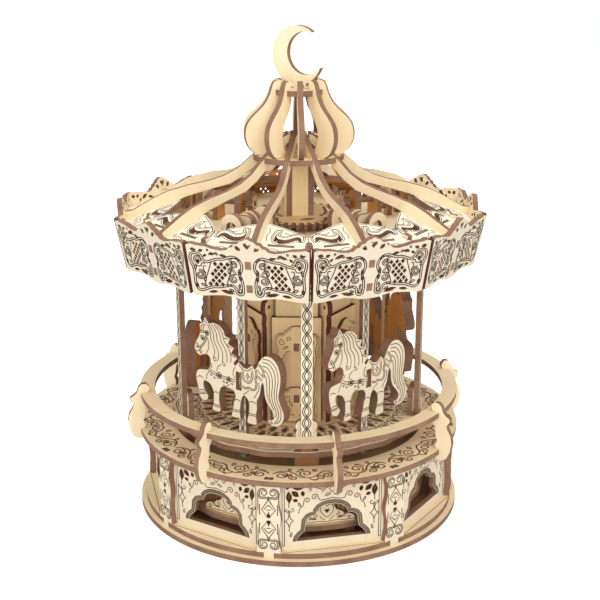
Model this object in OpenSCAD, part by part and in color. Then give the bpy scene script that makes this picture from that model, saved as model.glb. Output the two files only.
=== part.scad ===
// Carousel music box built from laser-cut plywood sheets.
// A fixed base holds the music movement. A turning carousel with five lifting
// horses stands on it, under a ten-sided canopy with an onion dome.
// Azimuths are counted from the front (-Y) towards +X. The origin is the centre
// of the underside, with +Z up.

/* [Plywood] */
// Thickness of the plywood sheets
ply = 3.4; // [3.2:0.1:3.6]
// Clearance on each side of a tab in its slot
fit = 0.1; // [0.05:0.05:0.2]
// Gap between pieces that move past each other
run_gap = 0.3; // [0.25:0.05:0.4]
// Thickness of the thin glued-on trim
trim = 2; // [1.5:0.5:3]

/* [Base] */
// Radius of the floor disc that stands on the bottom disc
floor_r = 99.6; // [99.2:0.2:101]
// How far the bottom disc stands out beyond the floor disc
base_lip = 3.4; // [2:0.2:8]
// Distance from the axis to the outside of the eight wall panels
wall_apothem = 91; // [90:0.5:92]
// Height of the wall panels
wall_h = 43.4; // [40:0.2:50]
// Azimuth of the first wall panel
base_turn = 12.5; // [0:0.5:22]
// Inner radius of the eight corner posts
corner_r = 96.4; // [96:0.2:97]
// Width of a corner post
corner_w = 14.5; // [13:0.5:15]
// Outer radius of the gallery ring
gallery_r = 102; // [101.5:0.5:103]
// Inner radius of the gallery ring
gallery_in_r = 80; // [76:0.5:83]
// Drop of the inner deck below the gallery ring
deck_drop = 10.2; // [9:0.1:11]
// Outer radius of the curved backdrop wall
backdrop_r = 72; // [68:1:74]

/* [Handrail] */
// Height of the handrail's top above the gallery ring
rail_rise = 23.9; // [22:0.1:26]
// Outer radius of the handrail
rail_r = 101.3; // [100.5:0.1:102]
// Width of the handrail
rail_w = 9.3; // [8:0.1:11]

/* [Carousel] */
// Azimuth of the first outer post
rotor_turn = 3.5; // [0:0.5:9]
// Gap between the gallery ring and the platform
platform_gap = 5.4; // [5.2:0.1:6.5]
// Mean radius of the scalloped platform
platform_r = 80.6; // [80:0.2:82]
// Distance from the axis to the middle of an outer post
post_r = 77.2; // [76:0.1:77.5]
// Width of an outer post
post_w = 6.9; // [6:0.1:8]
// Distance from the axis to the middle of a horse pole
pole_r = 61.2; // [60:0.1:62]
// Width of a horse pole
pole_w = 5; // [4.5:0.1:5.2]
// Length of one twist of the braid cut on posts and poles
braid_pitch = 7.3; // [6:0.1:9]
// Stroke of the horses
stroke = 7; // [5:0.5:7]
// Height of the hooves above the platform at mid stroke
hoof_rise = 10; // [6:0.2:10]

/* [Tower] */
// Azimuth of the first face of the tower
tower_turn = -2; // [-10:0.5:10]
// Distance from the axis to the outside of the lower tower panels
tower_apothem = 33; // [32:0.5:34]
// Height of the lower tower panels
tower_h = 67.6; // [64:0.2:72]
// Height of the upper tower panels
upper_h = 48; // [45:0.5:50]

/* [Canopy] */
// Distance from the axis to the inside of the fascia at its bottom edge
fascia_r = 100.9; // [100:0.1:102]
// Outward lean of the fascia
fascia_lean = 11.3; // [9:0.1:13]
// Height of the fascia at its corners
fascia_h = 31.1; // [29:0.1:33]
// Height of the mechanism floor's underside above the fascia's bottom edge
fascia_drop = 14.3; // [13:0.1:15]
// Slope of the deck plates
deck_slope = 19.9; // [18:0.1:21]

/* [Lifting gear] */
// Number of lobes of the fixed crown wheel
crown_lobes = 40; // [40:10:40]
// Number of teeth of a lifting pinion
pinion_teeth = 8; // [8:1:8]
// Radius at which the lifting pinions roll on the crown wheel
crown_r = 30; // [29:0.5:30.5]
// Radius of a lifting shaft
axle_r = 1.5; // [1.2:0.1:1.6]
// Radial clearance of a turning shaft in its bore
bore_gap = 0.06; // [0.04:0.01:0.09]

/* [Dome] */
// Height of the dome's lower ring above the mechanism floor
dome_rise = 40.4; // [39:0.2:44]
// Radius of the dome's lower ring
ring1_r = 27.7; // [27:0.1:28.4]
// Height between the dome's two rings
dome_h = 39; // [37:0.5:41]
// Radius of the dome's upper ring
ring2_r = 15.3; // [14.8:0.1:15.6]
// Radius of the crescent
moon_r = 17.5; // [16:0.5:19]
// Height of the crescent's centre above the upper ring
moon_rise = 19.3; // [19:0.1:22]

/* [Movement] */
// Distance from the axis to the winding shaft
drive_r = 38; // [37.8:0.1:38.4]
// Radius of the spindle
spindle_r = 3; // [2.5:0.1:3.5]
// Radius of the opening around the winding key
key_hole_r = 17; // [16:0.5:18]

/* [Hidden] */
$fn = 64;

// Colours of the lit faces of the pieces
pale = "#f3dcae";
cream = "#fbf0d2";
tan_wood = "#e0bd84";
dark_wood = "#8a654d";
steel = "#b9bcc0";
brass = "#c9a24b";

// Counts that the whole design follows
walls = 8;
horses = 5;
sides = 10;
faces = 6;
wall_step = 360 / walls;
horse_step = 360 / horses;
side_step = 360 / sides;
face_step = 360 / faces;
half_side = side_step / 2;

// Radii that follow the discs and the fascia
base_r = floor_r + base_lip;
mech_r = fascia_r - 10.9;

// Heights, from the underside up
z_floor = 2 * ply;
z_gallery = z_floor + wall_h;
z_gallery_top = z_gallery + ply;
z_inner = z_gallery - deck_drop;
z_inner_top = z_inner + ply;
z_rail = z_gallery_top + rail_rise - ply;
z_platform = z_gallery_top + platform_gap;
z_deck = z_platform + ply;
z_tier = z_deck + tower_h;
z_mech = z_tier + upper_h;
z_mech_top = z_mech + ply;
z_fascia = z_mech - fascia_drop;
z_ring1 = z_mech_top + dome_rise;
z_ring1_top = z_ring1 + ply;
z_ring2 = z_ring1 + dome_h;
z_ring2_top = z_ring2 + ply;
z_moon = z_ring2_top + moon_rise;

// The lifting gear: a crown wheel, and pinions that roll on its lobes
crown_rise = 2.8;
z_crown = z_mech_top + crown_rise;
z_crown_top = z_crown + ply;
pinion_r = crown_r * pinion_teeth / crown_lobes;
z_axle = z_crown + ply / 2 + pinion_r + 0.2;
crank_throw = stroke / 2;
crank_pin_r = 1.2;
crank_r = 6.5;
pole_in_r = pole_r - ply / 2;
crank_in_r = pole_in_r - 1.5 - ply;
arch_rs = [crown_r + 6, crank_in_r - 1.2 - ply, pole_r + 6.8];
axle_bore_r = axle_r + bore_gap;
spindle_bore_r = spindle_r + bore_gap;

// Where the horses stand at rest, as shares of half the stroke
horse_phase = [0, 0, 0.9, -0.6, 0.5];
function horse_lift(k) = horse_phase[k] * stroke / 2;
function horse_az(k) = rotor_turn - horse_step / 2 + k * horse_step;
function post_az(k) = rotor_turn + k * horse_step;
function rib_az(k) = rotor_turn + half_side + k * side_step;
function seam_az(k) = rotor_turn + k * side_step;

// ---------- Outline helpers ----------
function arc(x, y, r, a0, a1, n) =
    [for (i = [0:n]) let (a = a0 + (a1 - a0) * i / n) [x + r * cos(a), y + r * sin(a)]];
function reversed(p) = [for (i = [len(p) - 1:-1:0]) p[i]];
function flipped(p) = [for (q = reversed(p)) [-q[0], q[1]]];
function both_sides(p) = concat(p, flipped(p));
function placed(p, x, y, a = 0) =
    [for (q = p) [x + q[0] * cos(a) - q[1] * sin(a), y + q[0] * sin(a) + q[1] * cos(a)]];
function box_loop(w, h) = [[-w / 2, -h / 2], [w / 2, -h / 2], [w / 2, h / 2], [-w / 2, h / 2]];
function diamond(w, h) = [[-w / 2, 0], [0, -h / 2], [w / 2, 0], [0, h / 2]];
function leaf(l, w, n = 5) = concat(
    [for (i = [0:n - 1]) [l * (i / n - 0.5), -w / 2 * sin(180 * i / n)]],
    [for (i = [0:n - 1]) [l * (0.5 - i / n), w / 2 * sin(180 * i / n)]]);
function ring_loop(r, n = 24) = [for (i = [0:n - 1]) [r * cos(360 * i / n), r * sin(360 * i / n)]];
function heart(w) = concat(
    [[0, -0.55 * w]],
    arc(0.25 * w, 0.12 * w, 0.25 * w, -40, 150, 5),
    flipped(arc(0.25 * w, 0.12 * w, 0.25 * w, -40, 150, 5)));
// A closed smooth curve through the given points, n steps between each pair
function smooth(p, n = 3) = let (c = len(p))
    [for (i = [0:c - 1]) for (j = [0:n - 1])
        let (t = j / n, a = p[(i + c - 1) % c], b = p[i], d = p[(i + 1) % c], e = p[(i + 2) % c])
        0.5 * (2 * b + (d - a) * t + (2 * a - 5 * b + 4 * d - e) * t * t
            + (3 * b - a - 3 * d + e) * t * t * t)];
// A cut outline with holes: the first loop is the edge, the others are the holes
module sheet(loops) {
    starts = [for (i = 0, s = 0; i < len(loops); s = s + len(loops[i]), i = i + 1) s];
    polygon([for (l = loops) each l],
        [for (i = [0:len(loops) - 1]) [for (j = [0:len(loops[i]) - 1]) starts[i] + j]]);
}
// An upright sheet that faces outwards, its inner face at radius r
module facing(az, r, t = ply) {
    rotate([0, 0, az]) translate([0, -r, 0]) rotate([90, 0, 0]) linear_extrude(t) children();
}
// An upright sheet in the plane through the axis, drawn as radius and height
module fin(az) {
    rotate([0, 0, az - 90]) rotate([90, 0, 0]) translate([0, 0, -ply / 2])
        linear_extrude(ply) children();
}
// A flat sheet that lies at height z
module lying(z, t = ply) {
    translate([0, 0, z]) linear_extrude(t) children();
}
// The point at radius r and azimuth az of a lying sheet, and a slot there
function at_az(az, r) = [r * sin(az), -r * cos(az)];
function slot_at(az, r, w, d) = placed(box_loop(w, d), at_az(az, r)[0], at_az(az, r)[1], az);

// ---------- Base ----------
// The post's tab reaches through the floor disc, the wall's through the gallery ring
corner_tab = 6;
wall_tab = 5;
wall_tab_x = 26;
wall_half = 31.6;
wall_in_r = wall_apothem - ply;
function wall_az(k) = base_turn + k * wall_step;
function corner_az(k) = base_turn - wall_step / 2 + k * wall_step;
key_pos = at_az(180, drive_r);

module key_opening() {
    translate([key_pos[0], key_pos[1], -1]) cylinder(r = key_hole_r, h = z_floor + 2);
}
module bottom_disc() {
    color(pale) difference() {
        cylinder(r = base_r, h = ply);
        key_opening();
    }
}
module floor_disc() {
    notch_w = corner_tab + 2 * fit;
    color(pale) difference() {
        translate([0, 0, ply]) cylinder(r = floor_r, h = ply);
        key_opening();
        for (k = [0:walls - 1]) rotate([0, 0, corner_az(k)])
            translate([-notch_w / 2, -floor_r - 1, ply / 2])
                cube([notch_w, floor_r + 1 - corner_r + fit, 2 * ply]);
    }
}
// Stepped ogee window, and leaves cut in the upper corners
window_side = [[21.2, 4.9], [20.8, 6.7], [18.8, 9], [16.6, 11], [16, 14.8], [15.8, 17.6], [14.4, 19.6],
    [12, 20.5], [9.8, 20.9], [9.1, 23.4], [7.6, 25.1], [5, 26.5], [1.6, 27.2]];
window_loop = concat(window_side, flipped(window_side));
wall_cuts = [[26.7, 40, 2.6, 2.6, 45], [20.4, 39.5, 8, 3.7, 6], [25.8, 33.7, 8, 3.7, 85],
    [22.1, 35.4, 5.8, 3.3, 43], [17.6, 35.2, 3.8, 2.5, 75], [22, 31.3, 3.6, 2.3, 20]];
module wall_panel() {
    top_side = [[wall_tab_x + wall_tab / 2, wall_h], [wall_tab_x + wall_tab / 2, wall_h + ply],
        [wall_tab_x - wall_tab / 2, wall_h + ply], [wall_tab_x - wall_tab / 2, wall_h]];
    edge = both_sides(concat([[wall_half, 0], [wall_half, wall_h]], top_side));
    sheet(concat([edge, window_loop],
        [for (c = wall_cuts) placed(leaf(c[2], c[3]), c[0], c[1], c[4])],
        [for (c = wall_cuts) placed(leaf(c[2], c[3]), -c[0], c[1], 180 - c[4])]));
}
module wall_panels() {
    color(cream) for (k = [0:walls - 1])
        facing(wall_az(k), wall_in_r) translate([0, z_floor]) wall_panel();
}
module corner_post() {
    h = wall_h;
    side = [for (i = [0:20]) let (v = i / 20) [corner_w / 2 - 1.7 * pow(sin(360 * v), 2), h * v]];
    edge = both_sides(concat([[corner_tab / 2, -ply], [corner_tab / 2, 0]], side,
        [[wall_tab / 2, h], [wall_tab / 2, h + ply]]));
    wedge = [[-1.5, 1], [1.5, 1], [0.9, 2.6], [0, 5], [-0.9, 2.6]];
    sheet([edge, placed(wedge, 0, h / 2), placed(wedge, 0, h / 2, 180)]);
}
module corner_posts() {
    color(cream) for (k = [0:walls - 1])
        facing(corner_az(k), corner_r) translate([0, z_floor]) corner_post();
}
module gallery_ring() {
    tab_r = sqrt(pow(wall_tab_x, 2) + pow(wall_in_r + ply / 2, 2));
    tab_az = atan2(wall_tab_x, wall_in_r + ply / 2);
    color(pale) difference() {
        translate([0, 0, z_gallery]) cylinder(r = gallery_r, h = ply);
        translate([0, 0, z_gallery - 1]) cylinder(r = gallery_in_r, h = ply + 2);
        lying(z_gallery - 1, ply + 2) for (k = [0:walls - 1]) {
            sheet([slot_at(corner_az(k), corner_r + ply / 2, wall_tab + 2 * fit, ply + 2 * fit)]);
            for (s = [-1, 1]) rotate(s * tab_az + wall_az(k)) translate([0, -tab_r])
                rotate(-s * tab_az) square([wall_tab + 2 * fit, ply + 2 * fit], center = true);
        }
    }
}
// Bracket that clips over the gallery ring's edge and carries the handrail
module rail_bracket() {
    g = gallery_r;
    r = rail_r;
    zg = z_gallery;
    zr = z_rail;
    edge = concat(
        [[g - 2, zg - fit], [g - 2, zg - 1.8], [g - 0.6, zg - 3.2], [g + 2.2, zg - 3.4], [g + 5.2, zg - 1.4],
        [g + 7.2, zg + 3.2], [g + 8.1, zg + 8.4], [g + 7.3, zg + 13.4], [g + 5, zg + 17.2],
        [g + 4.4, zg + 19.6], [g + 6.4, zg + 22.2], [g + 6.2, zg + 24.4], [g + 4, zg + 25.6],
        [g + 2, zg + 27.4]],
        [[r + 1.4, zr + ply + 3.6], [r - 0.4, zr + ply + 5.6], [r - 3, zr + ply + 5.8], [r - 4.8, zr + ply + 4],
        [r - 5, zr + ply + 1.6], [r - 4.2, zr + ply + fit], [r - 2.6, zr + ply + fit], [r - 2.6, zr - fit],
        [r - 5.4, zr - fit], [r - 5, zr - 3], [r - 2.6, zr - 6]],
        [[g - 2.6, zg + 13], [g - 1.4, zg + 9], [g - 2.8, zg + 6], [g - 2.6, zg + ply + 1.4],
        [g - 2, zg + ply + fit], [g + fit, zg + ply + fit], [g + fit, zg - fit]]);
    sheet([edge]);
}
module rail_brackets() {
    color(pale) for (k = [0:walls - 1]) fin(wall_az(k)) rail_bracket();
}
module handrail(k) {
    gap_angle = 0.12;
    start = corner_az(2 * k) - 90 + wall_step;
    color(pale) difference() {
        translate([0, 0, z_rail]) rotate([0, 0, start + gap_angle / 2])
            rotate_extrude(angle = 90 - gap_angle) translate([rail_r - rail_w, 0]) square([rail_w, ply]);
        for (j = [0:1]) rotate([0, 0, start + wall_step / 2 + j * wall_step])
            translate([rail_r - 2.6 - fit, -ply / 2 - fit, z_rail - 1]) cube([10, ply + 2 * fit, ply + 2]);
    }
}
module backdrop_wall() {
    color(tan_wood) translate([0, 0, z_floor]) difference() {
        cylinder(r = backdrop_r, h = wall_h - deck_drop);
        translate([0, 0, -1]) cylinder(r = backdrop_r - trim, h = wall_h + 2);
    }
}
// Cloud scrolls with a heart, behind each window
module scene_plate() {
    cloud = [for (i = [0:24]) let (x = 17 - 34 * i / 24)
        [x, 3 + 4.6 * pow(cos(5 * x), 2) + 6.2 * exp(-pow(x / 4.8, 2)) + 1.4 * abs(sin(31.8 * x))]];
    sheet([concat([[-17, 0], [17, 0]], cloud), placed(heart(3), 0, 8),
        placed(leaf(4.4, 1.4), 8, 3.2, 12), placed(leaf(4.4, 1.4), -8, 3.2, 168)]);
}
// The plates stand on a ring that is carried by sixteen short legs
shelf_rise = 5.2;
shelf_r = backdrop_r + 10.4;
z_shelf = z_floor + shelf_rise;
module scene_shelf() {
    difference() {
        translate([0, 0, z_shelf]) cylinder(r = shelf_r, h = ply);
        translate([0, 0, z_shelf - 1]) cylinder(r = backdrop_r + fit, h = ply + 2);
    }
    for (k = [0:2 * walls - 1]) rotate([0, 0, base_turn + (k + 0.5) * wall_step / 2])
        translate([-ply, -backdrop_r - 3 * ply / 2, z_floor]) cube([2 * ply, ply, shelf_rise + fit]);
}
module scene_plates() {
    color(tan_wood) scene_shelf();
    color(tan_wood) for (k = [0:walls - 1])
        facing(wall_az(k), backdrop_r + 5, trim) translate([0, z_shelf + ply - fit]) scene_plate();
}
module inner_deck() {
    color(tan_wood) difference() {
        translate([0, 0, z_inner]) cylinder(r = wall_in_r - run_gap, h = ply);
        translate([0, 0, z_inner - 1]) cylinder(r = spindle_r + fit / 2, h = ply + 2);
        translate([key_pos[0], key_pos[1], z_inner - 1]) cylinder(r = axle_bore_r, h = ply + 2);
    }
}
// Turned spindle: nut below the deck, flange under the hub, collar under the crown wheel
module spindle() {
    nut_h = 4;
    collar_h = 3;
    z_low = z_inner - nut_h - 2;
    color(steel) union() {
        translate([0, 0, z_low]) cylinder(r = spindle_r, h = z_ring1_top - z_low);
        translate([0, 0, z_inner - nut_h]) cylinder(r = 6, h = nut_h, $fn = 6);
        translate([0, 0, z_inner_top]) cylinder(r = 8, h = z_platform - ply - z_inner_top - run_gap);
        translate([0, 0, z_crown - collar_h]) cylinder(r = 6, h = collar_h);
    }
}
module crown_gear() {
    lobe_r = crown_r + 2;
    root_r = crown_r - 3.2;
    pitch = 360 / crown_lobes;
    edge = [for (i = [0:crown_lobes - 1]) let (a = (i + 0.5) * pitch - 90 + seat_turn)
        for (q = [[root_r, -0.24], [lobe_r - 0.8, -0.19], [lobe_r, -0.1], [lobe_r, 0.1],
            [lobe_r - 0.8, 0.19], [root_r, 0.24]])
            [q[0] * cos(a + q[1] * pitch), q[0] * sin(a + q[1] * pitch)]];
    color(pale) difference() {
        lying(z_crown) sheet(concat([edge],
            [for (k = [0:4]) placed(leaf(11, 5, 6), 18 * cos(72 * k), 18 * sin(72 * k), 72 * k + 90)]));
        translate([0, 0, z_crown - 1]) cylinder(r = spindle_r + fit / 2, h = ply + 2);
    }
}
// A gap between two lobes lies under the first lifting pinion
seat_turn = horse_az(0);
module column_box() {
    half = 8.3;
    h = z_ring1 - z_crown_top - run_gap;
    inner = half - ply;
    recess = 0.2;
    color(tan_wood) rotate([0, 0, 2 * rotor_turn]) for (s = [-1, 1]) {
        translate([s * (half - ply / 2), 0, z_crown_top + h / 2]) cube([ply, 2 * half, h], center = true);
        translate([0, s * (half - recess - ply / 2), z_crown_top + h / 2]) cube([2 * inner, ply, h], center = true);
    }
}

// ---------- Music movement ----------
// The bedplate stands on three pillars, over the opening of the winding key
bed_t = 3;
z_bed = z_floor + 13.2;
barrel_r = 14;
barrel_h = 12;
z_barrel = z_bed + bed_t + run_gap;
cylinder_r = 6.3;
cylinder_l = 18;
cylinder_x = -barrel_r - 3 - cylinder_l;
z_cylinder = z_bed + bed_t + cylinder_r + 2;
module movement_bedplate() {
    color(brass) translate([key_pos[0], key_pos[1], 0]) difference() {
        union() {
            translate([-41, -16, z_bed]) cube([57, 32, bed_t]);
            for (p = [[-37, -13], [-37, 13], [-2, 20.4]])
                translate([p[0], p[1], z_floor]) cylinder(r = 2.4, h = z_bed - z_floor + bed_t);
            translate([-6, 13, z_bed]) cube([8, 9, bed_t]);
            for (x = [cylinder_x - 3.2, cylinder_x + cylinder_l + 0.3])
                translate([x, -3, z_bed]) cube([2, 6, z_cylinder - z_bed + 3]);
        }
        translate([0, 0, z_bed - 1]) cylinder(r = axle_bore_r, h = bed_t + 2);
        translate([cylinder_x - 10, 0, z_cylinder]) rotate([0, 90, 0]) cylinder(r = 1 + bore_gap, h = 60);
        translate([governor_x, -10, z_bed - 1]) cylinder(r = 1 + bore_gap, h = bed_t + 2);
    }
}
governor_x = -40;
module music_comb() {
    teeth = 18;
    pitch = cylinder_l / teeth;
    tooth = [for (i = [0:teeth - 1]) for (q = [[0.1, 8], [0.2, 0], [0.8, 0], [0.9, 8]])
        [(i + q[0]) * pitch, q[1]]];
    color(steel) translate([key_pos[0] + cylinder_x, key_pos[1] + cylinder_r + 0.5, 0]) {
        translate([0, 0, z_cylinder - 0.5]) linear_extrude(1)
            polygon(concat(tooth, [[cylinder_l, 10.4], [0, 10.4]]));
        translate([0, 8.2, z_bed + bed_t]) cube([cylinder_l, 2.2, z_cylinder - 0.5 - z_bed - bed_t]);
    }
}
module winding_key() {
    wing = smooth([[0, 0], [6, 2.4], [11, 4.6], [13, 1.5], [13, -1.5], [11, -4.6], [6, -2.4]], 3);
    color(steel) translate([key_pos[0], key_pos[1], 0]) union() {
        translate([0, 0, 2]) cylinder(r = 3, h = 12);
        translate([0, 0, 13]) cylinder(r = axle_r, h = z_bed + bed_t - 13);
        for (s = [0, 180]) rotate([0, 0, s]) translate([0, 1, 6.5]) rotate([90, 0, 0])
            linear_extrude(2) polygon(wing);
    }
}
module spring_barrel() {
    color(brass) translate([key_pos[0], key_pos[1], z_barrel]) union() {
        cylinder(r = barrel_r, h = barrel_h - 2);
        translate([0, 0, barrel_h - 2]) cylinder(r = barrel_r - 2, h = 2);
        cylinder(r = axle_r, h = z_platform - run_gap - ply - z_barrel + fit);
    }
}
// Straight-flanked gear outline: n teeth of module m, thinned by the backlash
function gear_loop(n, m, backlash) = let (r = n * m / 2, p = 360 / n, b = backlash / (2 * PI * r) * 360)
    [for (i = [0:n - 1]) for (q = [[r - 1.15 * m, -0.36], [r - 0.2 * m, -0.25], [r + 0.85 * m, -0.1],
        [r + 0.85 * m, 0.1], [r - 0.2 * m, 0.25], [r - 1.15 * m, 0.36]])
        let (a = i * p + q[1] * p - sign(q[1]) * b) [q[0] * cos(a), q[0] * sin(a)]];
hub_teeth = 40;
drive_teeth = 10;
gear_m = 2 * (drive_r - 0.4) / (hub_teeth + drive_teeth);
module hub_gear() {
    // A tooth gap faces the drive pinion
    color(tan_wood) difference() {
        lying(z_platform - ply) rotate(90 + 180 / hub_teeth)
            sheet(concat([gear_loop(hub_teeth, gear_m, 0.3)],
                [for (k = [0:4]) placed(ring_loop(5, 16), 17 * cos(72 * k), 17 * sin(72 * k))]));
        translate([0, 0, z_platform - ply - 1]) cylinder(r = spindle_bore_r, h = ply + 2);
    }
}
module drive_pinion() {
    color(brass) translate([key_pos[0], key_pos[1], 0]) difference() {
        lying(z_platform - ply + fit, ply - run_gap - fit) rotate(-90)
            sheet([gear_loop(drive_teeth, gear_m, 0.3)]);
    }
}
module music_cylinder() {
    color(brass) translate([key_pos[0] + cylinder_x, key_pos[1], z_cylinder]) rotate([0, 90, 0]) union() {
        cylinder(r = cylinder_r, h = cylinder_l);
        translate([0, 0, -4]) cylinder(r = 1, h = cylinder_l + 7);
    }
}
module governor() {
    color(brass) translate([key_pos[0] + governor_x, key_pos[1] - 10, 0]) union() {
        translate([0, 0, z_bed]) cylinder(r = 1, h = 16);
        translate([0, 0, z_bed + bed_t + 1]) cylinder(r = 2, h = 5);
        translate([-4, -0.4, z_bed + bed_t + 7]) cube([8, 0.8, 4]);
    }
}

// ---------- Carousel platform and posts ----------
post_in_r = post_r - ply / 2;
foot_w = 14;
pole_hole_w = pole_w + 1.4;
// Ring of radial petals, n of them, between two radii
function petals(n, r0, r1, w, a0 = 0) = [for (i = [0:n - 1]) let (a = a0 + 360 * i / n)
    placed(leaf(r1 - r0, w), at_az(a, (r0 + r1) / 2)[0], at_az(a, (r0 + r1) / 2)[1], a - 90)];
function clear_of(azs, a, half) = len([for (z = azs) if (abs((a - z + 540) % 360 - 180) < half) 1]) == 0;
module platform() {
    scallops = 20;
    edge = [for (i = [0:159]) let (a = 360 * i / 160, r = platform_r + 0.6 * cos(scallops * a))
        at_az(rotor_turn + a, r)];
    pole_azs = [for (k = [0:horses - 1]) horse_az(k)];
    post_azs = [for (k = [0:horses - 1]) post_az(k) - 4.5];
    petal_azs = [for (i = [0:39]) rotor_turn + 360 * i / 40];
    color(cream) difference() {
        lying(z_platform) sheet(concat([edge],
            [for (k = [0:horses - 1]) slot_at(post_az(k), post_r, foot_w + 2 * fit, ply + 2 * fit)],
            [for (k = [0:horses - 1]) slot_at(horse_az(k), pole_r, pole_hole_w, ply + 2 * run_gap)],
            [for (a = petal_azs) if (clear_of(pole_azs, a, 7)) each petals(1, 53, 62.6, 3.4, a)],
            [for (a = petal_azs) each petals(1, 44, 51.5, 3, a + 4.5)],
            [for (a = petal_azs) if (clear_of(post_azs, a, 8)) each petals(1, 65.4, 70.4, 2.6, a + 4.5)],
            [for (k = [0:horses - 1]) for (s = [-18, -9, 0, 9, 18])
                placed(leaf(7, 2.4), at_az(horse_az(k) + s, 74.4)[0], at_az(horse_az(k) + s, 74.4)[1],
                    horse_az(k) + s)]));
        translate([0, 0, z_platform - 1]) cylinder(r = spindle_bore_r, h = ply + 2);
    }
}
// Outline of a braided strip: its two edges swell once for each crossing
function braid_side(w, z0, z1) = let (n = round((z1 - z0) / braid_pitch * 4))
    [for (i = [0:n]) let (z = z0 + (z1 - z0) * i / n)
        [w / 2 - 0.32 * (1 - abs(sin(180 * (z - z0) / braid_pitch))), z]];
module outer_post(k) {
    tab_z = z_inner_top + 3 * run_gap;
    edge = both_sides(concat(
        [[foot_w / 2, tab_z], [foot_w / 2, z_deck]],
        braid_side(post_w, z_deck, z_mech),
        [[2.5, z_mech], [2.5, z_mech_top]]));
    foot_h = 18.4;
    foot = both_sides(concat([[6.2, z_deck], [6.2, z_deck + foot_h - 8]],
        arc(2.6, z_deck + foot_h - 3.8, 3.8, -40, 90, 5)));
    color(cream) {
        facing(post_az(k), post_in_r) sheet([edge]);
        facing(post_az(k), post_in_r - ply, ply + fit) sheet([foot]);
    }
}

// ---------- Tower ----------
tower_in_r = tower_apothem - ply;
tower_half = 15;
upper_in_r = tower_in_r - 2.6;
upper_half = 12.8;
function face_az(k) = tower_turn + k * face_step;
module tower_panels() {
    color(tan_wood) for (k = [0:faces - 1]) facing(face_az(k), tower_in_r)
        translate([-tower_half, z_deck]) square([2 * tower_half, tower_h]);
}
module tower_fins() {
    r = tower_apothem + 5.9;
    z = z_tier;
    top = smooth([[upper_in_r + 2, z + 30], [upper_in_r + 2, z + 15], [upper_in_r + 2, z - 6],
        [r, z - 6], [r, z + 0.5], [r + 1.8, z + 4.5], [r + 1, z + 9.5], [r - 1.8, z + 11.5],
        [r - 0.4, z + 15.5], [r - 2.4, z + 20.5], [r - 5.4, z + 23.5], [r - 6.2, z + 27.5],
        [r - 6.6, z + 30.5]], 3);
    color(tan_wood) for (k = [0:faces - 1]) fin(face_az(k) + face_step / 2) {
        difference() {
            union() {
                translate([tower_in_r + 0.4, z_deck]) square([r - tower_in_r - 0.4, tower_h]);
                polygon(top);
            }
            translate([r - 2.4, z + 6.4]) circle(r = 1.2, $fn = 16);
        }
    }
}
// Scalloped door frame on each lower panel, and a small arch on each upper one
module door_frame() {
    side = [[11.4, 0.8], [12.6, 3], [11.6, 6.5], [12.2, 11], [11.2, 16], [12.4, 22], [11.6, 29], [12, 36],
        [13.2, 42], [12.2, 47.5], [13.4, 51], [13.2, 55], [11, 57.4], [8.4, 57.4], [6.6, 59.6], [3.2, 62]];
    opening = [[4.4, 22.4], [6.2, 20.6], [8.2, 22.6], [8, 30], [8.4, 38], [7.4, 42.6], [5.2, 45.6], [3.8, 46.4]];
    sheet([concat(side, [[0, 62.6]], flipped(side)), concat(opening, [[0, 45.4]], flipped(opening), [[0, 23]])]);
}
module upper_arch() {
    side = [[9.6, 10], [11, 13], [10.4, 17], [8.2, 19], [6.6, 21.4], [4, 23.6]];
    lower = [[3, 12.4], [6, 10.6]];
    sheet([concat(lower, side, [[0, 25]], flipped(side), flipped(lower))]);
}
module door_frames() {
    color(tan_wood) for (k = [0:faces - 1]) {
        facing(face_az(k), tower_apothem, trim) translate([0, z_deck]) door_frame();
        facing(face_az(k), upper_in_r + ply, trim) translate([0, z_tier]) upper_arch();
    }
}
module upper_tower() {
    color(tan_wood) for (k = [0:faces - 1]) facing(face_az(k), upper_in_r)
        translate([-upper_half, z_tier]) square([2 * upper_half, upper_h]);
}

// ---------- Canopy ----------
function inner_fascia_r(z) = fascia_r + (z - z_fascia) * tan(fascia_lean);
// Top of the deck plates above a radius measured along a plate's middle
deck_tip_r = fascia_r - 29.5;
function deck_top(r) = z_mech + 19.6 + (deck_tip_r - r) * tan(deck_slope);
function deck_under(r) = deck_top(r) - ply / cos(deck_slope);
// A plate's top edges lie this far outside its bottom edges
deck_shift = ply * sin(deck_slope);
// Radius at which a plate's outer top edge meets the leaning fascia
deck_out_rise = deck_under(0) + ply * cos(deck_slope) - z_fascia;
deck_out_r = (fascia_r - fit - deck_shift + deck_out_rise * tan(fascia_lean))
    / (1 + tan(deck_slope) * tan(fascia_lean));
rib_slot_r = mech_r - 2;
leg_r = mech_r - 3.7;
module mech_floor() {
    slot_w = ply + 2 * fit;
    color(tan_wood) difference() {
        translate([0, 0, z_mech]) cylinder(r = mech_r, h = ply);
        translate([0, 0, z_mech - 1]) cylinder(r = 8, h = ply + 2);
        lying(z_mech - 1, ply + 2) {
            for (k = [0:horses - 1]) {
                sheet([slot_at(post_az(k), post_r, 5 + 2 * fit, slot_w)]);
                sheet([slot_at(horse_az(k), pole_r, pole_hole_w, ply + 2 * run_gap)]);
            }
            for (k = [0:sides - 1])
                sheet([slot_at(rib_az(k), (leg_r - fit + mech_r + 2) / 2, slot_w, mech_r + 2 - leg_r + fit)]);
        }
    }
}
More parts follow.
